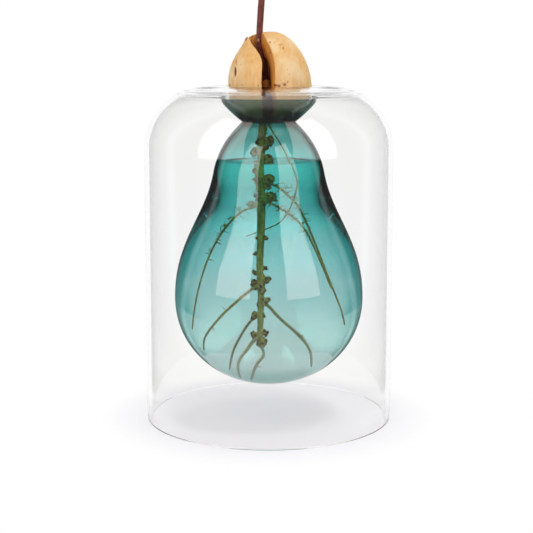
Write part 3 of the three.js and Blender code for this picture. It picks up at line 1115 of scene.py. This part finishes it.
@dataclass
class Vessel:
    """The sea-green vessel: flared dish, pinched neck and pear-shaped bulb."""

    mouth_radius: float = 20.8
    wall: float = 1.8
    seam: float = 156
    seam_gap: float = 0.06  # line of the fused seam
    neck: Point = (12.8, 145.2)
    thin: float = 0.75  # share of the wall that blowing leaves below
    thin_heights: Point = (40, 110)
    neck_bead: float = 0.3  # how much thicker the wall is at the neck
    neck_reach: float = 6
    flank: Point = (26.9, 120.5)
    slope: float = 0.18
    belly: Point = (46, 59.7)
    underside: Point = (0, 16.8)
    belly_handles: Point = (0.55, 0.59)  # handles of the curves at both ends, as shares of their rise or width
    flank_handles: Point = (0.45, 0.35)
    neck_handles: Point = (0.51, 0.28)
    rim_handles: Point = (0.28, 0.2)  # outwards and upwards
    steps: tuple[int, ...] = (44, 40, 26, 22)  # faces up to the belly, the flank, the neck and the rim

    def outside(self) -> list[Point]:
        """Outside from the middle of the underside up to the rim.

        Returns:
            Radius and height of each point, in millimetres.
        """
        rim = (self.mouth_radius + self.wall, self.seam - self.seam_gap)
        climb = self.flank[1] - self.belly[1]
        out = self.belly_handles[0] * self.belly[0]
        down = self.belly_handles[1] * (self.belly[1] - self.underside[1])
        up, below = (share * climb for share in self.flank_handles)
        above = self.neck_handles[0] * (self.neck[1] - self.flank[1])
        flare = self.neck_handles[1] * (self.flank[0] - self.neck[0])
        spread = self.rim_handles[0] * (rim[0] - self.neck[0])
        deep = self.rim_handles[1] * (self.seam - self.neck[1])
        to_belly, to_flank, to_neck, to_rim = self.steps
        lean = self.slope
        return [
            *eased(self.underside, (out, 0), (0, -down), self.belly, to_belly),
            *eased(self.belly, (0, up), (lean * below, -below), self.flank, to_flank)[1:],
            *eased(self.flank, (-lean * above, above), (flare, -flare), self.neck, to_neck)[1:],
            *eased(self.neck, (spread, deep), (0, -deep), rim, to_rim)[1:],
        ]

    def inner(self, thinner: float = 0) -> list[Point]:
        """Inside from the floor up to the rim, for a wall that is thinner by so much.

        Args:
            thinner: How much of the wall is left out, in millimetres.

        Returns:
            Radius and height of each point, in millimetres.
        """

        def thickness(point: Point) -> float:
            """Wall at a point, thicker round the pinched neck.

            Args:
                point: A point of the outside.

            Returns:
                The thickness in millimetres.
            """
            near = max(0, 1 - abs(point[1] - self.neck[1]) / self.neck_reach)
            blown = self.thin + (1 - self.thin) * soft_step(point[1], *self.thin_heights)
            return self.wall * blown - thinner + self.neck_bead * near**2

        wall = inset(self.outside(), thickness)
        wall[0] = (0, self.underside[1] + thickness(self.underside))
        wall[-1] = (self.mouth_radius, self.seam - self.seam_gap)
        return wall

    def dress(self) -> None:
        """Adds the vessel."""
        bulb = (
            (16.8, "5A9A96"), (19, "66AAA5"), (22, "80BCB7"), (26, "A8D0CA"), (32, "E6EEED"), (45, "E9F5F3"),
            (52, "DEF1F0"), (66, "D4F0F0"), (75, "D2EFF0"), (83, "C3F1F1"), (91, "B6E7E6"), (98, "9DE7E5"),
            (106, "88D8D6"), (123, "99EDE8"), (130, "B0E7E5"), (136, "A3D3CF"),
        )
        # the dark band at the neck, from 144.8 to 147.4 mm, is painted shade in the glass's tint
        neck = (
            (142.5, "9CCFCA"), (144, "54948E"), (144.8, "12241E"), (147.4, "10221C"), (149, "6A9C8C"),
            (156, "8CB49C"),
        )
        finish = GlassFinish(
            "sea_green_glass", bulb + neck, index=1.5, wave_size=28, wave_depth=0.03, edge_tint="7ED9DA",
            edge_density=120,
        )
        mesh = turned("vessel", [*self.outside(), *reversed(self.inner())], finish.make())
        hide(add_piece("vessel_glass", mesh, Role(Body.GLASS, Slot.TEAL, ("pear_vessel",))), "shadow")


@dataclass
class Water:
    """Water in the bulb, which wets the glass and climbs it a little at its edge."""

    vessel: Vessel
    level: float = 125.5
    sunk: float = 0.15  # how far it lies in the glass, so that no air shows between them
    climb: float = 0.9
    climb_reach: float = 1.1
    edge_loops: int = 12
    edge_loop: float = 0.012  # spacing of the loops at its edge, as a share of its radius
    middle_loops: tuple[float, ...] = (0.6, 0.3, 0)

    def outline(self) -> list[Point]:
        """Up the wall, and then in along the surface.

        Returns:
            Radius and height of each point, in millimetres.
        """
        wall = [p for p in self.vessel.inner(self.sunk) if p[1] < self.level + self.climb]
        edge = wall[-1][0]
        loops = [1 - self.edge_loop * i for i in range(1, self.edge_loops + 1)]
        surface = []
        for radius in [edge * share for share in (*loops, *self.middle_loops)]:
            surface.append((radius, self.level + self.climb * math.exp((radius - edge) / self.climb_reach)))
        return [*wall, *surface]

    def dress(self) -> None:
        """Adds the water."""
        mesh = turned("water", self.outline(), WaterFinish("still_water", "FBFEFD").make())
        hide(add_piece("water_fill", mesh, Role(Body.GLASS)), "shadow")


# Seedling


@dataclass
class SeedHalf:
    """One half of the split seed."""

    side: Side
    node: str
    stains: tuple[Stain, ...]
    pulls: tuple[Pull, ...]
    voxel: float = 0.42
    passes: int = 7
    turn: float = 11  # degrees that the split plane is turned
    inner_turn: Point = (0.62, 0.82)  # how squarely a face must look inwards to be an inner one
    slot_shade_depth: Point = (6, 17)  # how far behind the front edge the painted shade in the slot starts and is full
    stain_depth: float = 2  # how far behind the axis the stains end

    def inner_share(self, mesh: Mesh) -> list[float]:
        """How far each point belongs to the inner face, from 0 to 1.

        Args:
            mesh: The half's skin.

        Returns:
            A value for each point.
        """
        angle = math.radians(self.turn)
        inward = Vector((math.cos(angle), math.sin(angle), 0)) * self.side.value
        return [soft_step(vertex.normal.dot(inward), *self.inner_turn) for vertex in mesh.vertices]

    def slot_shade_share(self, mesh: Mesh) -> list[float]:
        """How deep each point lies between the halves, from the front edge to the back, which sets the painted
        shade in the slot.
        """
        front = min(vertex.co.y for vertex in mesh.vertices)
        return [soft_step((vertex.co.y - front) / MM, *self.slot_shade_depth) for vertex in mesh.vertices]

    def dress(self, material: Material) -> None:
        """Adds the half.

        Args:
            material: Its finish.
        """
        mesh = smooth_copy(self.node, self.voxel, self.passes)
        for pull in self.pulls:
            pull.bend(mesh)
        roughened(mesh, depth=0.16, size=2.4, stretch=4)
        put_attribute(mesh, "inner", self.inner_share(mesh))
        # painted shade deep in the slot between the halves
        put_attribute(mesh, "dark_flesh_and_slot_shade", self.slot_shade_share(mesh))
        stained(mesh, self.stains, front=self.stain_depth * MM)
        role = Role(Body.PLANT, Slot.SEED, (self.node,))
        add_piece(f"{self.node}_flesh", mesh, role, material)


@dataclass
class Seed:
    """The two halves, with the marks that they bear."""

    left_stains: tuple[Stain, ...] = (
        Stain(-15.9, 168.8, 0.65, 2.8, 1.0, 0.35),
        Stain(-15.4, 173.2, 0.35, 1.6, 0.45),
        Stain(-10.9, 184.8, 0.9, 1.7, 0.9),
        Stain(-18.6, 162.5, 0.6, 0.5, 0.6),
        Stain(-12.6, 162.8, 0.5, 0.5, 0.5),
        Stain(-4.9, 162.4, 0.5, 0.6, 0.6),
    )
    right_stains: tuple[Stain, ...] = (
        Stain(-1.8, 187.6, 0.7, 0.5, 0.7),
        Stain(0.6, 182.6, 0.6, 0.5, 0.6),
        Stain(2.5, 182.2, 0.4, 0.35, 0.4),
        Stain(5.4, 181.4, 0.7, 0.45, 0.45),
        Stain(6.8, 179.8, 0.5, 0.8, 0.6),
        Stain(0.6, 177.6, 0.8, 0.4, 0.6),
        Stain(16.6, 173.3, 0.4, 0.35, 0.6),
        Stain(18.0, 169.2, 0.35, 0.5, 0.4),
        Stain(3.2, 162.6, 1.2, 0.7, 0.9),
        Stain(4.8, 162.2, 0.8, 0.8, 0.95),
        Stain(7.4, 162.9, 1.0, 0.8, 0.85),
        Stain(8.8, 164.1, 0.5, 0.5, 0.7),
    )
    left_pulls: tuple[Pull, ...] = (
        Pull((-6, -13, 174), (6, 12, 9), (3.0, 0, 0.6)),
        Pull((-10.5, -3, 184), (3, 6, 3), (-0.3, 0, 2.2)),
    )
    right_pulls: tuple[Pull, ...] = (
        Pull((3, -16, 162), (6, 9, 8), (-1.3, 0, 0)),
        Pull((-1, -6, 183), (5, 8, 6), (-1.2, 0, 0)),
        Pull((-5.5, 8, 182), (4, 6, 6), (-4.5, 0, 2)),
    )

    def dress(self) -> None:
        """Adds both halves."""
        finish = SeedFinish(
            "peeled_seed", pale="F5D9AC", flesh="EBBC7C", streak="DFA358", rim="E6A450", dark_flesh_and_slot_shade="B0661E",
            speck="A8662C", stain="86380E",
        )
        material = finish.make()
        SeedHalf(Side.LEFT, "cotyledon_left", self.left_stains, self.left_pulls).dress(material)
        SeedHalf(Side.RIGHT, "cotyledon_right", self.right_stains, self.right_pulls).dress(material)


@dataclass
class Shoot:
    """The root collar between the halves, the stem that rises from it, and the bud at its end."""

    collar_voxel: float = 0.4
    collar_passes: int = 3
    collar_pull: Pull = Pull((-1.5, -1, 160), (4, 4, 4), (0.5, -5, 4))
    collar_gain: float = 2  # how soon a crumb shows the tone of the ridges
    stem_radius: float = 1.6
    stem_tip_radius: float = 1.55
    stem_reach: float = 0.8  # how far the stem runs into the bud, in millimetres
    stem_slices: int = 40
    stem_trim: float = 0.004  # share of the stem that the first and the last slice leave out
    scar: tuple[Stain, ...] = (
        Stain(-5.1, 183.6, 0.75, 0.75, 0.9, -0.12),
        Stain(-5.2, 181.2, 0.5, 0.4, 0.35),
    )
    bud_length: float = 11
    bud_radius: float = 1.9
    scales: int = 5
    scale_turn: float = 137.5
    scale_grid: tuple[int, int] = (14, 9)  # faces up and across a scale
    scale_width: float = 1.25  # half the angle that it wraps at its foot, in radians
    scale_edge: float = 0.05  # and what is left of it at the tip
    scale_taper: float = 2.2  # how late it narrows
    scale_belly: Triple = (1.05, 0.8, 0.75)  # size and roundness of its belly, and how far down it sits
    scale_keel: float = 0.06
    scale_thickness: float = 0.16

    def collar(self) -> None:
        """Adds the crumbly collar."""
        finish = SkinFinish(
            "crumbly_collar", pale="D0924A", deep="8A4A1C", ridge="DCA458", end="C08040",
            end_heights=(150, 164), grain=0.7, stretch=1, roughness=0.75, depth=0.2,
        )
        core = smooth_copy("root_collar", self.collar_voxel, self.collar_passes)
        self.collar_pull.bend(core)
        roughened(core, depth=0.7, size=1.6)
        put_attribute(core, "nubs", [1.0] * len(core.vertices))
        crumbs = {"Density": 420000, "Least": 0.2 * MM, "Most": 0.55 * MM, "Seed": 4}
        mesh = NubTree(NubShape.LUMP).grow(core, finish.make(), **crumbs)
        put_attribute(mesh, "crest", crests(mesh, self.collar_gain))
        add_piece("collar_crumb", mesh, Role(Body.PLANT, Slot.COLLAR, ("root_collar",)))

    def stem_line(self) -> list[Vector]:
        """Middle of the CAD stem, from its foot to its end.

        Returns:
            Points on the middle, in metres.
        """
        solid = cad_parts["stem"].data
        corners = [vertex.co for vertex in solid.vertices]
        low, high = (corner.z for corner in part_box("stem"))
        line = []
        for i in range(self.stem_slices + 1):
            share = self.stem_trim + (1 - 2 * self.stem_trim) * i / self.stem_slices
            height = low + (high - low) * share
            cut = []
            for first, second in [[corners[k] for k in edge.vertices] for edge in solid.edges]:
                if (first.z - height) * (second.z - height) < 0:
                    cut.append(first.lerp(second, (height - first.z) / (second.z - first.z)))
            middle = [(min(c[k] for c in cut) + max(c[k] for c in cut)) / 2 for k in (0, 1)]
            line.append(Vector((*middle, height)))
        line[-1].z += self.stem_reach * MM
        return line

    def stem(self) -> None:
        """Adds the stem, with the scar of a leaf."""
        finish = SkinFinish(
            "stem_bark", pale="763024", deep="44160E", stain="C79A5E", end="662C20", end_heights=(196, 214),
            grain=0.5, stretch=8, roughness=0.62, depth=0.06,
        )
        mesh = TubeTree().grow(
            line_mesh("stem_line", self.stem_line()), finish.make(), Foot_Radius=self.stem_radius * MM,
            Tip_Radius=self.stem_tip_radius * MM, Step=0.6 * MM, Sides=28,
        )
        roughened(mesh, depth=0.1, size=1.4, stretch=5, lift=0.04)
        stained(mesh, self.scar, front=0)
        add_piece("stem_bark", mesh, Role(Body.PLANT, Slot.STEM, ("stem",)))

    def scale_leaf(self) -> Mesh:
        """One scale of the bud, in place on the upright axis with its foot at the origin.

        Returns:
            The mesh of one scale.
        """
        up, across = self.scale_grid
        full, roundness, low = self.scale_belly
        corners, faces = [], []
        for i in range(up + 1):
            share = i / up
            belly = full * math.sin(math.pi * share) ** roundness * (1 - low * share)
            radius = self.stem_tip_radius * (1 - share) + self.bud_radius * belly
            half = self.scale_width * (1 - share**self.scale_taper) + self.scale_edge
            for j in range(across + 1):
                angle = half * (2 * j / across - 1)
                out = radius * (1 + self.scale_keel * math.cos(angle / half * math.pi / 2))
                spot = (out * math.cos(angle), out * math.sin(angle), self.bud_length * share)
                corners.append(Vector(spot) * MM)
        for i in range(up):
            for j in range(across):
                a = i * (across + 1) + j
                faces.append((a, a + 1, a + across + 2, a + across + 1))
        thick = {"thickness": self.scale_thickness * MM, "offset": -1}
        return modified(new_mesh("scale_leaf", corners, [], faces), ("SOLIDIFY", thick))

    def bud(self) -> None:
        """Adds the bud, which its scales wrap."""
        finish = SkinFinish(
            "bud_scales", pale="9A5A3C", deep="6B3428", end="8C7A3E", end_heights=(217, 226), grain=0.5,
            stretch=6, roughness=0.5, depth=0.05,
        )
        mesh = WhorlTree().grow(
            self.scale_leaf(), finish.make(), Count=self.scales, Turn=math.radians(self.scale_turn),
            Rise=0.35 * MM, Shrink=0.06,
        )
        low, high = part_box("shoot_tip")
        foot = Vector(((low.x + high.x) / 2, (low.y + high.y) / 2, low.z))
        for vertex in mesh.vertices:
            vertex.co += foot
        add_piece("bud_scales", mesh, Role(Body.PLANT, Slot.BUD, ("shoot_tip",)))

    def dress(self) -> None:
        """Adds the collar, the stem and the bud."""
        self.collar()
        self.stem()
        self.bud()


HAIRY_ROOTS = ("left_upper_root", "right_upper_root", "right_middle_root")
SIDE_ROOTS = (
    "thread_root",
    *HAIRY_ROOTS,
    "left_lower_root",
    "left_inner_root",
    "right_lower_root",
    "left_bottom_root",
    "right_bottom_root",
)


@dataclass
class Roots:
    """The tap root with its knobs, and the side roots."""

    voxel: float = 0.27
    passes: int = 4
    girth: Point = (0.3, 0.55)  # how much the tap root gains at its end and at its top, in millimetres
    girth_heights: Point = (75, 115)
    knob_reach: Point = (2.0, 3.0)  # how far from the middle of the tap root a knob starts, and is full
    knob_slim: float = 0.3  # how much less of that it takes at the thin end
    knob_bulge: float = 0.7
    knob_grain: float = 1.5
    knob_tone: float = 0.35  # share of the ridge tone that a whole knob takes on
    ridge_gain: float = 5  # how soon a ridge shows its tone
    lump_share: float = 0.01  # share of the lumps that also grow between the knobs
    row: float = 2.0  # height of the rows in which the middle is looked for
    side_lift: float = 0.14  # makes up for what the rounding takes off a side root
    hair_heights: Point = (0.45, 0.75)  # where the rootlets of a hairy root start and are full
    hair_share: float = 0.02  # share of them on the other roots

    def upper(self, spot: Vector) -> float:
        """How far up the tap root a point lies, from 0 at its thin end to 1."""
        return soft_step(spot.z / MM, *self.girth_heights)

    def knob_share(self, skin: Mesh) -> list[float]:
        """How far out on a knob each point of the tap root lies, from 0 to 1.

        Args:
            skin: The tap root's skin.

        Returns:
            A value for each point.
        """
        rows: dict[int, list[Vector]] = defaultdict(list)
        spots = [(vertex.co.copy(), int(vertex.co.z / (self.row * MM))) for vertex in skin.vertices]
        for spot, row in spots:
            rows[row].append(spot)
        middles = {row: Vector([median(s[k] for s in near) for k in (0, 1)]) for row, near in rows.items()}
        share = []
        for spot, row in spots:
            slim = 1 - self.knob_slim * (1 - self.upper(spot))
            share.append(soft_step((spot.xy - middles[row]).length / MM / slim, *self.knob_reach))
        return share

    def swell(self, skin: Mesh, share: Sequence[float]) -> None:
        """Thickens the tap root towards its top, and makes its knobs lumpy.

        Args:
            skin: The tap root's skin.
            share: How far out on a knob each point lies.
        """
        low, high = self.girth
        moves = []
        for spot, knob in zip([vertex.co for vertex in skin.vertices], share):
            lump = self.knob_bulge * (0.5 + noise.noise(spot / (self.knob_grain * MM)))
            thicker = low + (high - low) * self.upper(spot)
            moves.append(thicker + (lump - thicker) * knob)
        pushed(skin, moves)

    def tap(self) -> None:
        """Adds the tap root."""
        finish = SkinFinish(
            "tap_root_skin", pale="E4D060", deep="B09030", ridge="74461E", end="D0C060",
            end_heights=(80, 40), grain=0.9, stretch=5, roughness=0.55, depth=0.1,
        )
        skin = smooth_copy("tap_root", self.voxel, self.passes)
        roughened(skin, depth=0.3, size=1.0, stretch=1.3, lift=0.14)
        share = self.knob_share(skin)
        self.swell(skin, share)
        ridges = crests(skin, self.ridge_gain)
        put_attribute(skin, "crest", [min(1, r + self.knob_tone * knob) for r, knob in zip(ridges, share)])
        put_attribute(skin, "nubs", [self.lump_share + knob for knob in share])
        lumps = {"Density": 900000, "Least": 0.3 * MM, "Most": 0.65 * MM, "Seed": 11}
        mesh = NubTree(NubShape.LUMP).grow(skin, finish.make(), **lumps)
        add_piece("tap_root_skin", mesh, Role(Body.PLANT, Slot.ROOT, ("tap_root",)))

    def sides(self) -> None:
        """Adds the side roots."""
        finish = SkinFinish(
            "side_root_skin", pale="CCB45E", deep="947830", end="C4BC9C", end_heights=(60, 28), grain=0.6,
            stretch=3, roughness=0.6, depth=0.06,
        )
        material = finish.make()
        threads = NubTree(NubShape.THREAD)
        rootlets = {"Density": 900000, "Least": 0.25 * MM, "Most": 1.3 * MM}
        for seed, node in enumerate(SIDE_ROOTS):
            skin = modified(node_copy(node), ("SUBSURF", {"levels": 2, "render_levels": 2}))
            roughened(skin, depth=0.1, size=1.2, lift=self.side_lift)
            low, high = (corner.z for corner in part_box(node))
            heights = [(vertex.co.z - low) / (high - low) for vertex in skin.vertices]
            hair = [soft_step(height, *self.hair_heights) for height in heights]
            put_attribute(skin, "nubs", hair if node in HAIRY_ROOTS else [self.hair_share] * len(hair))
            mesh = threads.grow(skin, material, Seed=seed, **rootlets)
            add_piece(f"{node}_skin", mesh, Role(Body.PLANT, Slot.ROOT, (node,)))

    def dress(self) -> None:
        """Adds all the roots."""
        self.tap()
        self.sides()


# Studio


def disc(radius: float, height: float, steps: int) -> tuple[list[Vector], list[list[int]]]:
    """Rim and face of a level disc, in metres.

    Args:
        radius: Its radius.
        height: Its height above the table.
        steps: Corners of its rim.

    Returns:
        The corners, and the face by their numbers.
    """
    angles = [math.tau * i / steps for i in range(steps)]
    rim = [Vector((radius * math.cos(a), radius * math.sin(a), height)) for a in angles]
    return rim, [list(range(steps))]


def add_card(name: str, corners: Sequence[Any], faces: Sequence[Any], paint: Material, *unseen: str) -> None:
    """Adds a part of the studio.

    Args:
        name: Its name.
        corners: Its corners in metres.
        faces: Its faces, by their corners' numbers.
        paint: Its finish.
        unseen: Kinds of rays that don't meet it.
    """
    mesh = new_mesh(name, corners, [], faces)
    mesh.materials.append(paint)
    card = placed(name, mesh)
    hide(card, *unseen)


@dataclass(frozen=True)
class Rays:
    """What is known of a ray that meets the floor or the world."""

    seen: Socket  # it shows the camera what it meets, straight or in glass
    lost: Socket  # light that it misses because the glass mirrored it into the dim room
    bent: Socket  # it passed through the full vessel, and leads aside


@dataclass
class Studio:
    """A white sweep, soft lamps, two tall panels that the glass mirrors, and the camera."""

    ambient: float = 0.55
    mirror_room: Point = (0.3, 0.02)  # brightness of the room that the dome's front mirrors, and the rest
    bent_room: float = 0.2  # brightness of the room where the full vessel bends the view to it
    bent_teal_shade: str = "26C4C2"  # teal of the dim surroundings to which the full vessel bends the view, and of the painted teal shade on the floor beside it
    bent_fade: Point = (0.045, 0.075)  # where that painted teal shade on the floor starts, in metres from the axis
    dome_back: Point = (-0.3, 0.25)  # how far back the dome's front must mirror a ray to meet the backdrop
    wall_back: Point = (0.32, 0.45)  # the same for the dome's far wall and the vessel's front
    wall_share: float = 0.75  # how much of it they show
    vessel_front: Point = (0.5, 0.65)  # where the vessel's front starts to mirror the dim room again
    deep_back: Point = (0.93, 1.0)  # the same as for the dome, for what is mirrored further in
    bent_back: Point = (0.62, 0.98)  # how far to the back or the front a bent ray must lead to stay white
    bent_floor: tuple[Point, Point] = ((0.87, 1.0), (0.8, 0.98))  # the same for the floor, close by and far off
    near_end: Point = (0.2, 0.28)  # where the floor close by ends, in metres from the axis
    mirror_count: float = 0.5  # a ray with more mirrors than this on its way is a mirrored one
    front_faces: float = 2.5  # fewer glass faces than this lie before what the dome's front mirrors
    dome_faces: float = 4.5  # more than this lie before what is mirrored behind the vessel's front
    clear_faces: float = 5.5  # more than this mean that the view passed through more than the dome
    panel_glow: Point = (4.0, 4.2)  # as the dome's front mirrors the panels, and the rest
    panel_tint: str = "FFE4E2"
    panel_ring: float = 1.05  # distance of the panels from the axis, in metres
    panel_heights: Point = (0.057, 1.75)
    panel_fade: Point = (0.0, 1.2)  # heights between which the inside of the vessel mirrors them
    panel_steps: int = 16
    floor_size: tuple[float, float, int] = (3, -0.1 * MM, 64)  # radius, height and corners
    floor_shade: float = 0.57
    floor_glow: float = 0.45
    floor_tint: str = "F7F7FF"
    floor_bounce: float = 0.8
    floor_fade: Point = (0.057, 0.085)  # where the floor turns into the white sweep, in metres from the axis
    table: Point = (0.2, 0.75)  # where the white floor ends for what mirrors it, in metres from the axis
    shade_size: tuple[float, float, int] = (42 * MM, 15 * MM, 48)
    shade_veil: str = "606060"
    lamp_aim: Triple = (0, 0, 0.15)
    lens: float = 82.576
    lens_shift: Point = (-0.0043, -0.08)
    camera_place: Triple = (0, -0.59166, 0.17337)
    camera_tilt: float = 7.5423  # degrees that it looks down
    bounces: int = 28
    mirror_bounces: int = 12

    def rays(self, board: NodeBoard, away: Socket, reach: Socket | None = None) -> Rays:
        """Sorts the rays by what they have met.

        Args:
            board: The tree to build in.
            away: Where a ray leads, from -1, the front, to 1, the back.
            reach: How far from the axis it ends, where it ends on the floor.

        Returns:
            What is known of a ray.
        """
        paths = board.add("LightPath")
        seen = paths["Is Camera Ray"].math("MAXIMUM", paths["Is Glossy Ray"])
        seen = seen.math("MAXIMUM", paths["Is Transmission Ray"])
        mirrored = paths["Glossy Depth"].math("GREATER_THAN", self.mirror_count)
        front = paths["Transmission Depth"].math("LESS_THAN", self.front_faces)
        deep = paths["Transmission Depth"].math("GREATER_THAN", self.dome_faces)
        bent = paths["Transmission Depth"].math("GREATER_THAN", self.clear_faces)
        room = self.mirror_room[1] + front * (self.mirror_room[0] - self.mirror_room[1])
        aside = 1 - board.between(away, *self.vessel_front)
        behind = board.between(away, *self.wall_back) * aside * self.wall_share
        behind = behind + front * (board.between(away, *self.dome_back) - behind)
        behind = behind + deep * board.between(away, *self.deep_back)
        lost = mirrored * (1 - room) * (1 - behind)
        along = board.between(away.math("ABSOLUTE"), *self.bent_back)
        if reach:
            close, far = (board.between(away.math("ABSOLUTE"), *ends) for ends in self.bent_floor)
            along = close + (far - close) * board.between(reach, *self.near_end)
            lost = lost * (1 - front * (1 - board.between(reach, *self.table)))
        return Rays(seen, lost, bent * (1 - along))

    def surround(self) -> None:
        """Sets the world: a white backdrop, and a dim room for what the glass mirrors or bends the view to."""
        world = bpy.data.worlds.new("white_studio")
        world.use_nodes = True
        bpy.context.scene.world = world
        board = NodeBoard(world.node_tree)
        heading = board.add("TexCoord")["Generated"]
        flat = board.add("VectorMath", {0: heading, 1: (1, 1, 0)}, operation="MULTIPLY")[0]
        turned_to = board.add("VectorMath", {0: flat}, operation="NORMALIZE")[0]
        rays = self.rays(board, board.add("SeparateXYZ", {0: turned_to})["Y"])
        level = self.ambient + rays.seen * (1 - self.ambient)
        lit = board.mix(rays.bent * (1 - self.bent_room), level, self.bent_teal_shade)
        lit = board.mix(rays.lost, lit, "000000")
        sky = board.add("Background", {"Color": lit, "Strength": 1.0})
        board.add("OutputWorld", {"Surface": sky[0]})

    def floor(self) -> None:
        """Adds the floor, which is white to the eye, keeps soft shadows and shows painted teal shade beside the
        vessel where the view passes through it.
        """
        paint = Paint("pale_floor")
        spot = paint.add("VectorMath", {0: paint.place}, operation="LENGTH")["Value"]
        back = paint.add("SeparateXYZ", {0: paint.place})["Y"] / spot
        rays = self.rays(paint, back, spot)
        far = paint.between(spot, *self.floor_fade)
        # painted teal shade on the floor beside the vessel, for views that passed through it
        painted_teal_shade = rays.bent * paint.between(spot, *self.bent_fade)
        tint = paint.mix(painted_teal_shade, "FFFFFF", self.bent_teal_shade)
        tint = paint.mix(rays.lost, tint, "000000")
        dull = paint.add("BsdfDiffuse", {"Color": (self.floor_shade,) * 3 + (1.0,)})
        glow = paint.add("Emission", {"Color": self.floor_tint, "Strength": self.floor_glow})
        near = paint.add("AddShader", {0: dull[0], 1: glow[0]})
        white = paint.add("Emission", {"Color": tint, "Strength": 1.0})
        changed = far.math("MAXIMUM", painted_teal_shade).math("MAXIMUM", rays.lost)
        shown = paint.add("MixShader", {0: changed, 1: near[0], 2: white[0]})
        bounce = paint.add("BsdfDiffuse", {"Color": (self.floor_bounce,) * 3 + (1.0,)})
        whole = paint.add("MixShader", {0: rays.seen, 1: bounce[0], 2: shown[0]})
        add_card("floor", *disc(*self.floor_size), paint.end(whole))

    def shade(self) -> None:
        """Adds a hidden disc that keeps some lamp light off the floor under the bulb."""
        paint = Paint("half_shade")
        veil = paint.end(paint.add("BsdfTransparent", {"Color": self.shade_veil}))
        add_card("shade", *disc(*self.shade_size), veil, "camera", "diffuse", "glossy", "transmission")

    def panel(self, name: str, start: float, end: float) -> None:
        """Adds a tall glowing panel that shows only where something glossy mirrors it.

        Args:
            name: The panel's name.
            start: Where it starts, in degrees from the front towards the right.
            end: Where it ends.
        """
        ring, steps = self.panel_ring, self.panel_steps
        corners = []
        for angle in [math.radians(start + (end - start) * i / steps) for i in range(steps + 1)]:
            for height in self.panel_heights:
                corners.append((ring * math.sin(angle), -ring * math.cos(angle), height))
        faces = [(2 * i, 2 * i + 2, 2 * i + 3, 2 * i + 1) for i in range(steps)]
        paint = Paint(name)
        paths = paint.add("LightPath")
        mirrored = paths["Glossy Depth"].math("GREATER_THAN", self.mirror_count)
        within = paths["Transmission Depth"].math("GREATER_THAN", self.clear_faces)
        low, high = (height / MM for height in self.panel_fade)
        faded = 1 - within * (1 - paint.between(paint.height(), low, high))
        outside = paths["Transmission Depth"].math("LESS_THAN", self.front_faces)
        share = self.panel_glow[1] + outside * (self.panel_glow[0] - self.panel_glow[1])
        level = 1 + mirrored * (share * faded - 1)
        tone = {axis: level * part for axis, part in zip("XYZ", rgb(self.panel_tint))}
        colour = paint.add("CombineXYZ", tone)[0]
        glow = paint.add("Emission", {"Color": colour, "Strength": 1.0})
        add_card(name, corners, faces, paint.end(glow), "camera", "diffuse", "shadow")

    def lamp(self, name: str, place: Triple, power: float, size: float) -> None:
        """Adds a soft lamp that looks at the seed.

        Args:
            name: The lamp's name.
            place: Where it stands, in metres.
            power: Its power in watts.
            size: Its side in metres.
        """
        light = bpy.data.lights.new(name, "AREA")
        light.energy = power
        light.size = size
        lamp = placed(name, light)
        lamp.location = place
        lamp.rotation_euler = (Vector(self.lamp_aim) - Vector(place)).to_track_quat("-Z", "Y").to_euler()
        hide(lamp, "camera", "glossy", "transmission")

    def camera(self) -> None:
        """Sets the camera at the photograph's viewing angle."""
        lens = bpy.data.cameras.new("camera")
        lens.lens = self.lens
        lens.shift_x, lens.shift_y = self.lens_shift
        camera = placed("camera", lens)
        camera.location = self.camera_place
        camera.rotation_euler = (math.radians(90 - self.camera_tilt), 0, 0)
        bpy.context.scene.camera = camera

    def build(self) -> None:
        """Sets up the whole studio."""
        scene = bpy.context.scene
        scene.view_settings.view_transform = "Standard"
        scene.cycles.max_bounces = self.bounces
        scene.cycles.transmission_bounces = self.bounces
        scene.cycles.glossy_bounces = self.mirror_bounces
        self.camera()
        self.surround()
        self.floor()
        self.shade()
        self.panel("left_panel", start=-65, end=-22)
        self.panel("right_panel", start=21, end=62)
        self.lamp("right_lamp", (0.55, -0.45, 0.85), power=3.6, size=0.5)
        self.lamp("left_lamp", (-0.6, -0.75, 0.32), power=2.7, size=0.6)
        self.lamp("back_lamp", (0.2, 0.7, 0.9), power=2.0, size=0.6)


def main() -> None:
    """Builds the studio and every piece."""
    logging.basicConfig(level=logging.INFO, format="%(name)s %(message)s")
    Studio().build()
    vessel = Vessel()
    for part in (Dome(), vessel, Water(vessel), Seed(), Shoot(), Roots()):
        part.dress()


if __name__ == "__main__":
    main()
